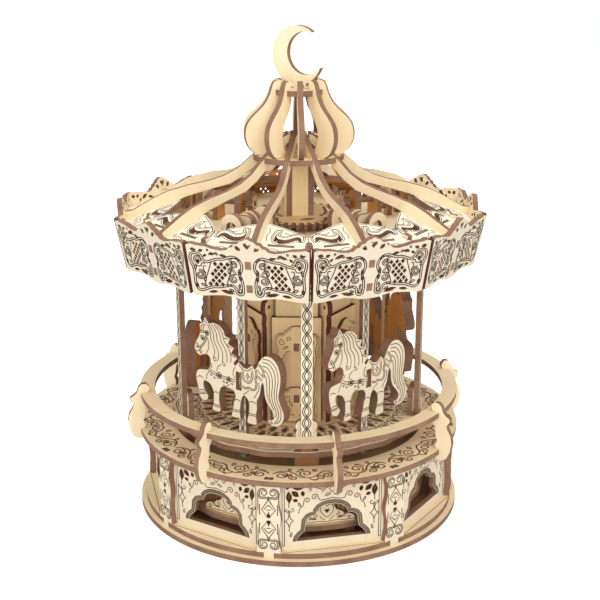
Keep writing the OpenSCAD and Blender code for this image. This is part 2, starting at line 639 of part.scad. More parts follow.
// Half-round bearings that carry each lifting shaft; the outermost one is open
module bearing_arches() {
    h = z_axle - z_mech_top;
    solid_edge = concat([[-7, 0], [7, 0]], arc(0, h, 7, 0, 180, 12));
    open_edge = concat([[-3.4, 0], [-7, 0]], reversed(arc(0, h + 1.4, 7, 0, 180, 12)), [[7, 0], [3.4, 0]],
        arc(0, h + 0.4, 3.4, 0, 180, 8));
    color(pale) for (k = [0:horses - 1]) {
        for (i = [0:1]) difference() {
            facing(horse_az(k), arch_rs[i]) translate([0, z_mech_top]) sheet([solid_edge]);
            rotate([0, 0, horse_az(k)]) translate([0, 0, z_axle]) rotate([90, 0, 0])
                cylinder(r = axle_bore_r, h = 100);
        }
        facing(horse_az(k), arch_rs[2]) translate([0, z_mech_top]) sheet([open_edge]);
    }
}
// Fins under the seams of the deck plates, with a tab up through each seam
seam_tab = [mech_r + 2.6, mech_r + 6.8];
module seam_brackets() {
    c = cos(half_side);
    m = mech_r;
    shift = deck_shift * c;
    function reach(z) = (inner_fascia_r(z) - ply / 2 * sin(half_side)) / c - 0.25;
    function under(p) = deck_under(p * c) - 0.2;
    top_r = deck_out_r;
    tab_out = [seam_tab[1] + shift, deck_top((seam_tab[1] + shift) * c) + 2];
    tab_in = [seam_tab[0] + shift, deck_top((seam_tab[0] + shift) * c)];
    edge = [[m - 7, z_mech_top], [m + 0.6, z_mech_top], [m + 2, z_mech_top - 3.6],
        [m + 8, z_mech - 6], [m + 13, z_mech - 6.6], [reach(z_mech - 4), z_mech - 4],
        [reach(z_mech + 3.6), z_mech + 3.6], [top_r, under(top_r)], [seam_tab[1], under(seam_tab[1])],
        tab_out, tab_in + [0, 1.4], tab_in, [seam_tab[0], under(seam_tab[0])], [m - 1.5, under(m - 1.5)],
        [m - 7, z_mech_top + 5]];
    color(pale) for (k = [0:sides - 1]) fin(seam_az(k)) sheet([edge]);
}
// Deck plate: flat, sloping, one to each side of the canopy
module deck_plate() {
    t = tan(half_side);
    seam_gap = 0.12;
    along = [sin(half_side), cos(half_side)];
    across = [-cos(half_side), sin(half_side)];
    in_notch = ply / 2 + fit;
    side = concat(
        placed([[3.4, -0.4], [8, 1.2], [13, 3.2], [18, 5.4], [22.4, 7.6], [25, 9.2]], 0, deck_tip_r),
        [[(deck_tip_r + 11) * t - seam_gap, deck_tip_r + 11]],
        [(seam_tab[0] - fit) * along + seam_gap * across, (seam_tab[0] - fit) * along + in_notch * across,
        (seam_tab[1] + fit) * along + in_notch * across, (seam_tab[1] + fit) * along + seam_gap * across],
        [[deck_out_r * t - seam_gap, deck_out_r]],
        [[ply / 2 + fit, deck_out_r], [ply / 2 + fit, rib_slot_r - fit]]);
    hook = smooth(placed([[8.4, 9.4], [9.6, 6.2], [9, 10.6], [11, 12.8], [15, 13.2], [18.6, 11.2], [21.2, 10],
        [23.4, 11.4], [24, 15], [22.4, 13.6], [20.6, 13.4], [17.2, 16], [12.2, 17.2], [8.6, 14.8]],
        0, deck_tip_r), 2);
    sheet([for (l = [both_sides(side), hook, flipped(hook)]) [for (p = l) [p[0], -p[1] / cos(deck_slope)]]]);
}
module deck_plates() {
    color(cream) for (k = [0:sides - 1]) rotate([0, 0, rib_az(k)])
        translate([0, 0, deck_under(0)]) rotate([deck_slope, 0, 0]) linear_extrude(ply) deck_plate();
}
// Fascia panel, drawn from its bottom edge up the slope
tenon_h = 4.4;
tenon_us = [5.8, 19.9];
module fascia_panel() {
    function half_at(u) = (fascia_r + u * sin(fascia_lean)) * tan(half_side) - 0.15;
    h = fascia_h;
    bottom = [[0, -1.2], [5, -1], [9, 0.1], [14, 0.9], [20, 0.5], [26, -0.2], [30, -0.5]];
    top = [[half_at(h - 0.8), h - 0.8], [half_at(h - 0.8) - 2.4, h], [29, h - 0.8], [24, h - 1.2], [20, h - 2.4],
        [15, h - 3.2], [11.6, h - 2.6], [10.2, h - 1], [8.4, h - 0.8], [7.2, h + 1], [5.2, h + 1.4],
        [3.8, h + 3], [1.8, h + 3.6], [0.7, h + 4.4]];
    half = concat(bottom, [[half_at(0), 0]], top);
    edge = concat(half, flipped([for (i = [1:len(half) - 1]) half[i]]));
    lattice = [for (j = [-3:3]) for (i = [-4:4]) if ((i + j) % 2 == 0 && abs(1.75 * i + 0.7 * j) < 4.2)
        [16.9 + 1.75 * i, 13.6 + 2.05 * j]];
    leaves = [[5.3, h - 1.2, 4.2, 2.6, 40], [30.6, h - 3.4, 3.8, 2.6, 10], [26.4, h - 3.8, 3.2, 2.2, -20],
        [19.6, h - 5, 6, 2.6, -20], [13.8, h - 6.2, 5, 2.1, 12], [24.2, h - 6.6, 3, 1.8, -40],
        [12.6, 3, 8.6, 2.7, 12], [20.8, 2.7, 6, 2, -8], [28.6, h - 10.6, 3.6, 2.5, 84]];
    sheet(concat([edge, placed(heart(4.2), 0, h + 0.6)],
        [for (u = tenon_us) placed(box_loop(ply + 2 * fit, tenon_h + 2 * fit), 0, u)],
        [for (p = lattice) placed(diamond(2.7, 3.2), p[0], p[1])],
        [for (p = lattice) placed(diamond(2.7, 3.2), -p[0], p[1])],
        [for (c = leaves) placed(leaf(c[2], c[3], 3), c[0], c[1], c[4])],
        [for (c = leaves) placed(leaf(c[2], c[3], 3), -c[0], c[1], 180 - c[4])]));
}
module fascia_panels() {
    color(cream) for (k = [0:sides - 1]) rotate([0, 0, rib_az(k)])
        translate([0, -fascia_r, z_fascia]) rotate([90 + fascia_lean, 0, 0])
        linear_extrude(ply) fascia_panel();
}
// Roof rib: an S-curve from the dome to the crest, with a leg behind the fascia
module roof_rib() {
    s = sin(fascia_lean);
    c = cos(fascia_lean);
    // A point at height u up the fascia's inner face, d in front of it
    function on_fascia(u, d) = [fascia_r + u * s + d * c, z_fascia + u * c - d * s];
    z1 = z_ring1;
    top = [[8.8, z1 + 15.6], [12.5, z1 + 14.6], [16.5, z1 + 11.4], [20.5, z1 + 8], [25, z1 + 4.8], [30, z1 + 0.9],
        [37, z1 - 5.5], [46, z1 - 10.4], [55, z1 - 13.2], [67.5, z1 - 15.8], [80, z1 - 19.4],
        [88.5, z1 - 23.4], [96.8, z1 - 28.2], [101.6, z1 - 31]];
    under = [[76, deck_top(76) + fit], [69, deck_top(69) + 0.6], [54.7, z1 - 18.4], [41.6, z1 - 15],
        [33, z1 - 9.6], [27, z1 - 4.2], [21.2, z1 + 0.6], [21.2, z1 + ply + fit], [17, z1 + ply + fit],
        [14.5, z1 + ply + 3.4], [11, z1 + ply + 6.4], [8.8, z1 + ply + 7.4]];
    t = tenon_h / 2;
    out = concat([on_fascia(27, -fit)],
        [for (i = [1:-1:0]) let (u = tenon_us[i])
            each [on_fascia(u + t, -fit), on_fascia(u + t, ply + fit),
                on_fascia(u - t, ply + fit), on_fascia(u - t, -fit)]],
        [on_fascia(1.6, -fit), on_fascia(1.2, -3)]);
    leg = [[92, z_mech - 4.4], [leg_r, z_mech - 1.6], [leg_r, deck_under(leg_r) - fit],
        [rib_slot_r + fit, deck_under(rib_slot_r + fit) - fit],
        [rib_slot_r + fit + deck_shift, deck_top(rib_slot_r + fit + deck_shift) + fit]];
    sheet([concat(top, out, leg, under)]);
}
module roof_ribs() {
    color(pale) for (k = [0:sides - 1]) fin(rib_az(k)) roof_rib();
}

// ---------- Dome ----------
module dome_lower_ring() {
    color(pale) difference() {
        translate([0, 0, z_ring1]) cylinder(r = ring1_r, h = ply);
        translate([0, 0, z_ring1 - 1]) cylinder(r = spindle_bore_r, h = ply + 2);
        for (k = [0:sides - 1]) rotate([0, 0, rib_az(k)])
            translate([-ply / 2 - fit, -ring1_r - 1, z_ring1 - 1])
                cube([ply + 2 * fit, ring1_r + 1 - 21.1, ply + 2]);
        for (k = [0:sides - 1]) rotate([0, 0, seam_az(k)])
            translate([0, -12, z_ring1 - 1]) cylinder(r = 2, h = ply + 2);
    }
}
module dome_rib() {
    z1 = z_ring1_top;
    z2 = z_ring2;
    outer = [[25.4, z1 + 0.1], [29.6, z1 + 2.2], [32.8, z1 + 6.3], [34.3, z1 + 11], [34.2, z1 + 15.8],
        [32.5, z1 + 20.3], [28.6, z1 + 24.6], [24.4, z1 + 28.2], [21, z2 - 3.4], [18.7, z2 + 1], [17.4, z2 + 5],
        [15.8, z2 + 8], [13.2, z2 + 8.9]];
    inner = [[11.4, z2 + 8.4], [11.4, z2 + ply + 0.9], [10.5, z2 + ply + fit], [10.5, z2 - fit], [10.2, z2 - 3],
        [12.6, z1 + 27], [16.6, z1 + 22], [19.4, z1 + 17.2], [20.2, z1 + 12.2], [19, z1 + 6.8],
        [16.8, z1 + 2.4], [16.4, z1 + 0.1]];
    sheet([concat(smooth_open(outer, 3), inner)]);
}
function smooth_open(p, n) = concat([for (i = [0:len(p) - 2]) for (j = [0:n - 1])
    let (t = j / n, a = p[max(i - 1, 0)], b = p[i], d = p[i + 1], e = p[min(i + 2, len(p) - 1)])
    0.5 * (2 * b + (d - a) * t + (2 * a - 5 * b + 4 * d - e) * t * t
        + (3 * b - a - 3 * d + e) * t * t * t)], [p[len(p) - 1]]);
module dome_ribs() {
    color(pale) for (k = [0:sides - 1]) fin(seam_az(k)) dome_rib();
}
stem_w = 5.2;
moon_az = horse_az(0);
module dome_upper_ring() {
    color(pale) difference() {
        translate([0, 0, z_ring2]) cylinder(r = ring2_r, h = ply);
        for (k = [0:sides - 1]) rotate([0, 0, seam_az(k)])
            translate([-ply / 2 - fit, -ring2_r - 1, z_ring2 - 1])
                cube([ply + 2 * fit, ring2_r + 1 - 10.4, ply + 2]);
        rotate([0, 0, moon_az]) translate([0, 0, z_ring2 + ply / 2])
            cube([stem_w + 2 * fit, ply + 2 * fit, ply + 2], center = true);
    }
}
// Crescent: the outer circle, less a smaller one moved towards its opening
module crescent() {
    open_dir = 16;
    horn = 38;
    hollow_r = 0.725 * moon_r;
    hollow_c = 0.34 * moon_r;
    tip = atan2(moon_r * sin(horn), moon_r * cos(horn) - hollow_c) + 3;
    foot = [[stem_w / 2, -moon_rise - ply + fit], [stem_w / 2, -moon_r + 0.6]];
    outer_l = arc(0, 0, moon_r, 270 - 9, open_dir + horn, 26);
    outer_r = arc(0, 0, moon_r, open_dir - horn, -90 + 9, 8);
    hollow = placed(arc(hollow_c, 0, hollow_r, tip, 360 - tip, 24), 0, 0, open_dir);
    color(pale) rotate([0, 0, moon_az]) translate([0, ply / 2, z_moon]) rotate([90, 0, 0]) linear_extrude(ply)
        sheet([concat(outer_l, hollow, outer_r, reversed(foot), [for (p = foot) [-p[0], p[1]]])]);
}

// ---------- Horses ----------
// Profile of a prancing horse, heading to -X; X is counted from the pole, Y from the hooves
horse_points = [[-31.4, 38.2], [-32.3, 41.4], [-30.6, 45.6], [-28.3, 49.6], [-27.6, 53.2], [-28.2, 56.2],
    [-25.6, 57.8], [-23.8, 61.4], [-21.4, 57.8], [-18.2, 58.8], [-13.8, 57.8], [-10.4, 55], [-9.6, 52],
    [-6, 51], [-7.4, 47.4], [-3.2, 45.6], [-5.2, 42], [-1, 39.6], [-3.6, 36.4], [-2.2, 34.6], [0, 37.2],
    [3, 34.8], [6.6, 34.4], [9.8, 37.2], [11.2, 35], [13, 36.2], [15, 40.6], [19, 44.6], [24, 44.4],
    [28, 40.2], [29.8, 33.6], [29.2, 26.8], [28.2, 20.8], [30, 15.4], [32, 10.8], [31.2, 6], [27.8, 2.6],
    [23.4, 2.2], [21, 5], [24, 5.6], [25.4, 8.4], [23.4, 12.2], [20.2, 15.8], [18.6, 20.6], [18.2, 25.6],
    [17, 28], [15.8, 24.6], [15, 19.6], [12.8, 15.2], [13, 10.4], [12, 5.2], [12.6, 0.4], [6.2, 0],
    [6.8, 4.8], [7.8, 9.8], [6.8, 14.4], [3.8, 17.2], [1.6, 13.8], [0.9, 9.6], [0.3, 5.6], [0.6, 2],
    [-5.4, 1.6], [-4.4, 5.8], [-3.7, 10.6], [-2.3, 15], [-4, 18.8], [-8.4, 19.6], [-12.4, 19.4],
    [-14.2, 16.4], [-14.8, 12.6], [-14.6, 8.6], [-14, 5], [-14.4, 2.6], [-19.8, 2.8], [-18.9, 6.6],
    [-18.6, 11], [-19, 15.6], [-20.8, 19], [-23.4, 20.4], [-25.8, 20.6], [-26.4, 17.4], [-25, 13.6],
    [-22.8, 10.8], [-25.2, 7.6], [-29.2, 9.4], [-29.8, 13.4], [-31, 18], [-31.6, 22.6], [-30.4, 26.4],
    [-26.8, 27.6], [-23.2, 28], [-21.2, 30], [-20.4, 33], [-20.8, 36], [-23, 38], [-25.6, 37.6], [-28.4, 36.4]];
channel = pole_w / 2 + 0.3;
window_z = [19.6, 31.2];
module horse(k) {
    profile = smooth(horse_points, 2);
    peep = [[-2.1, window_z[0]], [2.1, window_z[0]], [2.1, window_z[1]], [-2.1, window_z[1]]];
    lift = z_deck + hoof_rise + horse_lift(k);
    color(cream) union() {
        facing(horse_az(k), pole_in_r + ply) translate([0, lift]) sheet([profile, peep]);
        facing(horse_az(k), pole_in_r, ply) translate([0, lift]) difference() {
            polygon(profile);
            translate([-channel, -1]) square([2 * channel, 80]);
        }
    }
}
module horse_pole(k) {
    lift = horse_lift(k);
    z0 = z_inner_top + 2 * run_gap + stroke / 2 + lift;
    z1 = z_mech_top + stroke / 2 + 0.6 + lift;
    slot_half = crank_throw + crank_pin_r + 0.5;
    yoke_half = slot_half + 2.6;
    z_yoke = z_axle + lift;
    pin_half = crank_pin_r + 0.3;
    edge = both_sides(concat([[pole_w / 2 - 0.6, z0]], braid_side(pole_w, z0 + 0.4, z1),
        [[yoke_half, z1 + 1.4], [yoke_half, z_yoke + 4.4], [yoke_half - 2, z_yoke + 6]]));
    slot = concat(arc(slot_half - pin_half, z_yoke, pin_half, -90, 90, 6),
        arc(-slot_half + pin_half, z_yoke, pin_half, 90, 270, 6));
    color(cream) facing(horse_az(k), pole_in_r) sheet([edge, slot]);
}
// Lifting shaft: pinion, square washer, crank disc and crank pin on one rod
module lift_shaft(k) {
    tip_r = pinion_r + 1.5;
    root_r = pinion_r - 1.8;
    pitch = 360 / pinion_teeth;
    star = [for (i = [0:pinion_teeth - 1]) let (a = -90 + i * pitch)
        for (q = [[root_r, -0.26], [pinion_r, -0.11], [tip_r, -0.03], [tip_r, 0.03], [pinion_r, 0.11],
            [root_r, 0.26]])
            [q[0] * cos(a + q[1] * pitch), q[0] * sin(a + q[1] * pitch)]];
    pin_a = asin(horse_phase[k]);
    inner_end = crown_r - ply / 2 - 1.6;
    color(steel) rotate([0, 0, horse_az(k)]) translate([0, 0, z_axle]) union() {
        translate([0, -inner_end, 0]) rotate([90, 0, 0]) cylinder(r = axle_r, h = crank_in_r + ply - inner_end);
        translate([0, -crown_r + ply / 2, 0]) rotate([90, 0, 0]) linear_extrude(ply) sheet([star]);
        translate([0, -crown_r - ply / 2, 0]) rotate([90, 0, 0]) linear_extrude(2)
            square([5.4, 5.4], center = true);
        translate([0, -crank_in_r, 0]) rotate([90, 0, 0]) cylinder(r = crank_r, h = ply);
        translate([crank_throw * cos(pin_a), -crank_in_r - ply + 0.4, crank_throw * sin(pin_a)])
            rotate([90, 0, 0]) cylinder(r = crank_pin_r, h = 1.5 - run_gap + 0.4);
    }
}

bottom_disc();
floor_disc();
wall_panels();
corner_posts();
gallery_ring();
rail_brackets();
handrail(0);  // handrail_1
handrail(1);  // handrail_2
handrail(2);  // handrail_3
handrail(3);  // handrail_4
backdrop_wall();
scene_plates();
inner_deck();
spindle();
crown_gear();
column_box();
movement_bedplate();
music_comb();
winding_key();
spring_barrel();
drive_pinion();
music_cylinder();
governor();
platform();
hub_gear();
tower_panels();
tower_fins();
door_frames();
upper_tower();
mech_floor();
bearing_arches();
seam_brackets();
deck_plates();
fascia_panels();
roof_ribs();
dome_lower_ring();
dome_ribs();
dome_upper_ring();
crescent();
outer_post(0);  // outer_post_1
outer_post(1);  // outer_post_2
outer_post(2);  // outer_post_3
outer_post(3);  // outer_post_4
outer_post(4);  // outer_post_5
horse(0);  // horse_1
horse(1);  // horse_2
horse(2);  // horse_3
horse(3);  // horse_4
horse(4);  // horse_5
horse_pole(0);  // horse_pole_1
horse_pole(1);  // horse_pole_2
horse_pole(2);  // horse_pole_3
horse_pole(3);  // horse_pole_4
horse_pole(4);  // horse_pole_5
lift_shaft(0);  // lift_shaft_1
lift_shaft(1);  // lift_shaft_2
lift_shaft(2);  // lift_shaft_3
lift_shaft(3);  // lift_shaft_4
lift_shaft(4);  // lift_shaft_5
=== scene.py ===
# %% [markdown]
# # A carousel music box of laser-cut plywood
# The real object is a kit. Every piece is cut from a 3.4 mm sheet of basswood plywood and
# slotted into its neighbours. The laser does three things that the eye sees: it leaves
# pale, matt faces, it chars the cut edges brown, and it scores thin dark lines. The solids
# carry the cut shapes, so this lesson gives them wood, char and scored lines, and adds the
# small pieces that only matter to the eye.

# %% Load the solids
from math import atan2, cos, degrees, hypot, pi, radians, sin, tan

import bmesh
import bpy
from mathutils import Matrix, Vector
from mathutils.bvhtree import BVHTree


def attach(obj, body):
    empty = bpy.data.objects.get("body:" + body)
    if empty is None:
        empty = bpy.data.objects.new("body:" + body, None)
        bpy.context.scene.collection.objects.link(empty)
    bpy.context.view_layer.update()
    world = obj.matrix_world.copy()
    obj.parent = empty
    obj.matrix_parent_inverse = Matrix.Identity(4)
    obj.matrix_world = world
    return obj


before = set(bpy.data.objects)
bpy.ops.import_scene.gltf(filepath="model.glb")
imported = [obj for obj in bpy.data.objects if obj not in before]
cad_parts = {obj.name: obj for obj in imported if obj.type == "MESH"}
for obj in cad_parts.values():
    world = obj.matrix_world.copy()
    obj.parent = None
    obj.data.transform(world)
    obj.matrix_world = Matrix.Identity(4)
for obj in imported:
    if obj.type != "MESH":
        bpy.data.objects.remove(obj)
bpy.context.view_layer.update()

# %% [markdown]
# ## Sizes
# The scored lines have to lie on the sheets, so the script repeats the few sizes that
# place them, in millimetres. Azimuths count from the front (-Y) towards +X.

# %% Sizes shared with the solids
PLY = 3.4
MM = 0.001
BASE_TURN, ROTOR_TURN, TOWER_TURN = 12.5, 3.5, -2.0
Z_FLOOR = 2 * PLY
Z_GALLERY_TOP = 53.6
Z_DECK = 62.4
Z_TIER = 130.0
Z_FASCIA = 163.7
Z_MECH = 178.0
FASCIA_R, FASCIA_LEAN = 100.9, 11.3
DECK_TIP_R, DECK_SLOPE = 71.4, 19.9
POST_R, POLE_R = 77.2, 61.2
BRAID = 7.3
Z_SHELF_TOP = 15.4
HOOF = Z_DECK + 10
Z_POST_FOOT = Z_DECK + 3
HORSE_LIFT = [3.5 * share for share in (0, 0, 0.9, -0.6, 0.5)]
# Radii of the faces that carry lines
WALL_FACE, CORNER_FACE, SCENE_FACE, BACKDROP_FACE = 91, 96.4 + PLY, 79, 72
HORSE_FACE, DOOR_FACE, ARCH_FACE = 66.3, 35, 32.4
# Where a tone changes: painted shade on the floor and on the fascia's back boards, end grain
# on the column. And the pitch of the slits in the bent wall
FLOOR_SHADE_R, FASCIA_SHADE_Y, COLUMN_CORNER = 87, 80, 4.95
KERF_PITCH = 3


def horse_az(k):
    """Azimuth of horse k."""
    return ROTOR_TURN - 36 + 72 * k


# %% [markdown]
# ## Colours
# Colours are written as sRGB hex values, the way a paint chart gives them. Blender's
# shaders want linear light, so one function turns them.

# %% Hex to linear
def linear(code, alpha=1.0):
    """The linear RGBA of an sRGB hex code."""
    parts = [int(code[i:i + 2], 16) / 255 for i in (1, 3, 5)]
    return tuple(c / 12.92 if c <= 0.04045 else ((c + 0.055) / 1.055) ** 2.4 for c in parts) + (alpha,)


def add_node(tree, kind, inputs=None, **settings):
    """Adds a node, sets its options, and links or fills its sockets."""
    node = tree.nodes.new(kind)
    for key, value in settings.items():
        setattr(node, key, value)
    for key, value in (inputs or {}).items():
        if isinstance(value, bpy.types.NodeSocket):
            tree.links.new(value, node.inputs[key])
        else:
            node.inputs[key].default_value = value
    return node


def start_material(name):
    """A new material with its tree, shader and object coordinates."""
    material = bpy.data.materials.new(name)
    material.use_nodes = True
    tree = material.node_tree
    shader = tree.nodes["Principled BSDF"]
    place = add_node(tree, "ShaderNodeTexCoord").outputs["Object"]
    return material, tree, shader, place


# %% [markdown]
# ## Basswood veneer
# The face is sanded basswood plywood, unvarnished. Basswood is almost plain: fine pores
# drawn out along the grain, about 0.45 mm across and two centimetres long, over a slow
# drift of tone. A noise stretched along the grain gives the pores, and a broad noise gives
# the drift. Raw wood scatters light, so it is rough, with the IOR of cellulose. The veneer
# tone differs from sheet to sheet, so each tint is a material of its own. The amber and rust
# tints are painted shade, not a tone of the wood: they go on faces that look inwards or
# downwards. The deep brown below a height or inside a radius is painted shade too.

# %% Veneer material
# Pore width in millimetres, its stretch along the grain, and how much coarser the noise
# begins, since the pores are its third octave
PORE, STRETCH, COARSER = 0.45, 45, 4
# Painted shade in deep brown, for the floor inside the walls and the feet of the posts
PAINTED_SHADE_BROWN = "#8F623F"


def veneer(name, light, dark, along="Z", contrast=0.5, bump=0.12, brown=None):
    """Sanded basswood veneer with its grain along one axis, and painted shade in deep brown where a length is below a
    limit.

    The limit is a scale for (x, y, z) and millimetres: (0, 0, 1) is the height, (1, 1, 0) the radius.
    """
    material, tree, shader, place = start_material(name)
    fine = 1 / (PORE * MM) / COARSER
    drawn = fine / STRETCH
    stretch = {"X": (drawn, fine, fine), "Y": (fine, drawn, fine), "Z": (fine, fine, drawn)}[along]
    run = add_node(tree, "ShaderNodeMapping", {"Vector": place, "Scale": stretch})
    pores = add_node(tree, "ShaderNodeTexNoise", {"Vector": run.outputs[0], "Scale": 1.0, "Detail": 3.0,
                                                  "Roughness": 0.6, "Distortion": 0.3})
    drift = add_node(tree, "ShaderNodeTexNoise", {"Vector": place, "Scale": 38.0, "Detail": 2.0})
    both = add_node(tree, "ShaderNodeMath", {0: pores.outputs[0], 1: drift.outputs[0]}, operation="ADD")
    spread = 0.28 / contrast * 0.5
    amount = add_node(tree, "ShaderNodeMapRange", {0: both.outputs[0], 1: 1.0 - spread, 2: 1.0 + spread,
                                                   3: 0.0, 4: 1.0})
    tone = add_node(tree, "ShaderNodeMix", {"Factor": amount.outputs[0], 6: linear(dark), 7: linear(light)},
                    data_type="RGBA")
    if brown:
        part = add_node(tree, "ShaderNodeVectorMath", {0: place, 1: brown[0]}, operation="MULTIPLY")
        reach = add_node(tree, "ShaderNodeVectorMath", {0: part.outputs[0]}, operation="LENGTH")
        low = add_node(tree, "ShaderNodeMath", {0: reach.outputs["Value"], 1: brown[1] * MM},
                       operation="LESS_THAN")
        tone = add_node(tree, "ShaderNodeMix", {"Factor": low.outputs[0], 6: tone.outputs[2],
                                                7: linear(PAINTED_SHADE_BROWN)}, data_type="RGBA")
    tree.links.new(tone.outputs[2], shader.inputs["Base Color"])
    rise = add_node(tree, "ShaderNodeBump", {"Height": pores.outputs[0], "Strength": bump, "Distance": 0.1 * MM})
    tree.links.new(rise.outputs[0], shader.inputs["Normal"])
    shader.inputs["Roughness"].default_value = 0.62
    shader.inputs["IOR"].default_value = 1.45
    shader.inputs["Specular IOR Level"].default_value = 0.3
    return material


bleached_v = veneer("basswood_bleached_upright", "#E9DDC4", "#E1CFAF", contrast=0.3)
bleached_lean = veneer("basswood_bleached_leaning", "#DFD4BE", "#D6C7AA", contrast=0.3)
# Painted shade: the posts turn deep brown below their foot, under the platform
bleached_post = veneer("basswood_bleached_post_painted_shade_foot", "#F3E7CD", "#EBDAB9", contrast=0.3, brown=((0, 0, 1), Z_POST_FOOT))
bleached_h = veneer("basswood_bleached_lying", "#FBF2DE", "#F5E8CC", along="X", contrast=0.3)
plain_v = veneer("basswood_plain_upright", "#F8E7C6", "#F0D9AF", contrast=0.35)
plain_h = veneer("basswood_plain_lying", "#F5E2BC", "#EBD3A6", along="X", contrast=0.4)
# Painted shade: the floor is deep brown inside the walls, where the walls shade it
floor_shade_h = veneer("basswood_floor_painted_shade", "#F5E2BC", "#EBD3A6", along="X", contrast=0.4, brown=((1, 1, 0), FLOOR_SHADE_R))
golden_v = veneer("basswood_golden_upright", "#F8DFAE", "#ECCF98", contrast=0.4)
golden_h = veneer("basswood_golden_lying", "#E2C491", "#D2AE77", along="X")
# Painted shade: the amber veneers darken and warm the backs that look inwards and the undersides
amber_shade_v = veneer("basswood_amber_painted_shade_upright", "#E0A860", "#CC8C48", contrast=0.6)
amber_shade_h = veneer("basswood_amber_painted_shade_lying", "#D2A061", "#BC8450", along="X", contrast=0.6)
# Painted shade: the rust tint goes on the inner faces of the fascia boards at the back
rust_shade_v = veneer("basswood_rust_painted_shade_upright", "#CE8142", "#AD6029", contrast=0.7)
print("veneers:", sum(m.name.startswith("basswood") for m in bpy.data.materials))

# %% [markdown]
# ## Charred edge
# The laser burns its way through, so an edge is brown, matt and faintly striped by the
# beam's pulses, with lighter and darker plies inside. Fine noise gives the stripes, and a
# coarser one lets the char vary along the cut.

# %% Char and scored-line materials
def char(name, light, dark):
    """The laser-cut edge of a sheet."""
    material, tree, shader, place = start_material(name)
    pulse = add_node(tree, "ShaderNodeTexNoise", {"Vector": place, "Scale": 1 / (0.7 * MM), "Detail": 2.0})
    patch = add_node(tree, "ShaderNodeTexNoise", {"Vector": place, "Scale": 90.0, "Detail": 2.0})
    both = add_node(tree, "ShaderNodeMath", {0: pulse.outputs[0], 1: patch.outputs[0]}, operation="ADD")
    amount = add_node(tree, "ShaderNodeMapRange", {0: both.outputs[0], 1: 0.75, 2: 1.25, 3: 0.0, 4: 1.0})
    tone = add_node(tree, "ShaderNodeMix", {"Factor": amount.outputs[0], 6: linear(dark), 7: linear(light)},
                    data_type="RGBA")
    tree.links.new(tone.outputs[2], shader.inputs["Base Color"])
    rise = add_node(tree, "ShaderNodeBump", {"Height": pulse.outputs[0], "Strength": 0.25, "Distance": 0.1 * MM})
    tree.links.new(rise.outputs[0], shader.inputs["Normal"])
    shader.inputs["Roughness"].default_value = 0.8
    shader.inputs["IOR"].default_value = 1.45
    shader.inputs["Specular IOR Level"].default_value = 0.2
    return material


edge_brown = char("laser_charred_edge", "#9A7862", "#7F5F4B")
# Painted shade: a darker copy of the charred edge, for edges inside the canopy and tower and in the fascia's grooves
edge_shade = char("laser_charred_edge_painted_shade", "#6E4737", "#543427")
scored = char("laser_scored_line", "#3E3026", "#2C211A")
burnt = char("laser_burnt_line", "#6A4A33", "#523724")
shaded_line = char("laser_shaded_band", "#97886F", "#7D6E5A")

# %% [markdown]
# ## Movement metals
# The music movement is plated steel and brass. A metal's colour is its reflection, so
# metallic is 1 and the IOR stays at its default. Machining leaves marks about 0.6 mm apart,
# and a fine noise lets the roughness vary with them.

# %% Metals
def metal(name, colour, roughness):
    """Machined metal with faint tool marks."""
    material, tree, shader, place = start_material(name)
    marks = add_node(tree, "ShaderNodeTexNoise", {"Vector": place, "Scale": 1 / (0.6 * MM), "Detail": 2.0})
    wear = add_node(tree, "ShaderNodeMapRange", {0: marks.outputs[0], 1: 0.3, 2: 0.7, 3: roughness - 0.08,
                                                 4: roughness + 0.08})
    tree.links.new(wear.outputs[0], shader.inputs["Roughness"])
    rise = add_node(tree, "ShaderNodeBump", {"Height": marks.outputs[0], "Strength": 0.08, "Distance": 0.05 * MM})
    tree.links.new(rise.outputs[0], shader.inputs["Normal"])
    shader.inputs["Base Color"].default_value = linear(colour)
    shader.inputs["Metallic"].default_value = 1.0
    return material


nickel = metal("nickel_plated_steel", "#C9C7C2", 0.32)
brass = metal("stamped_brass", "#D3AE62", 0.34)

# %% [markdown]
# ## Faces and edges
# A sheet has two faces and an edge. The triangles of a solid already point outwards, so
# their normals tell which is which: a lying sheet's faces look up and down, a facing
# sheet's look away from the axis and towards it, and a fin's look sideways. The rule gives
# each triangle its material slot, and the solid itself stays as it is.

# %% Sort triangles by their normals
SQUARE_ON = 0.85


def side_of(rule, centre, normal):
    """0 for the shown face, 1 for the back, 2 for the cut edge."""
    if rule == "up":
        return 0 if normal.z > SQUARE_ON else 1 if normal.z < -SQUARE_ON else 2
    if isinstance(rule, (int, float)):
        away = Vector((sin(radians(rule)), -cos(radians(rule)), 0))
    else:
        away = Vector((centre.x, centre.y, 0)).normalized()
    if rule == "fin":
        across = abs(normal.dot(Vector((-away.y, away.x, 0))))
        return 0 if across > SQUARE_ON else 2
    turned = normal.dot(away)
    return 0 if turned > SQUARE_ON else 1 if turned < -SQUARE_ON else 2


def coat(node, *materials):
    """Gives a solid its material slots and returns its mesh."""
    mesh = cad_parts[node].data
    mesh.materials.clear()
    for material in materials:
        mesh.materials.append(material)
    return mesh


def dress(node, rule, face, back=None, edge=None):
    """Gives a solid its veneers and its charred edge."""
    mesh = coat(node, face, back or face, edge or edge_brown)
    for polygon in mesh.polygons:
        polygon.material_index = side_of(rule, polygon.center, polygon.normal)


# The backs and undersides below get the amber painted-shade veneers
for node in ("bottom_disc", "gallery_ring", "handrail_1", "handrail_2", "handrail_3", "handrail_4",
             "dome_lower_ring", "dome_upper_ring", "mech_floor", "platform"):
    dress(node, "up", plain_h, amber_shade_h)
dress("floor_disc", "up", floor_shade_h, amber_shade_h)
dress("crown_gear", "up", golden_h, amber_shade_h)
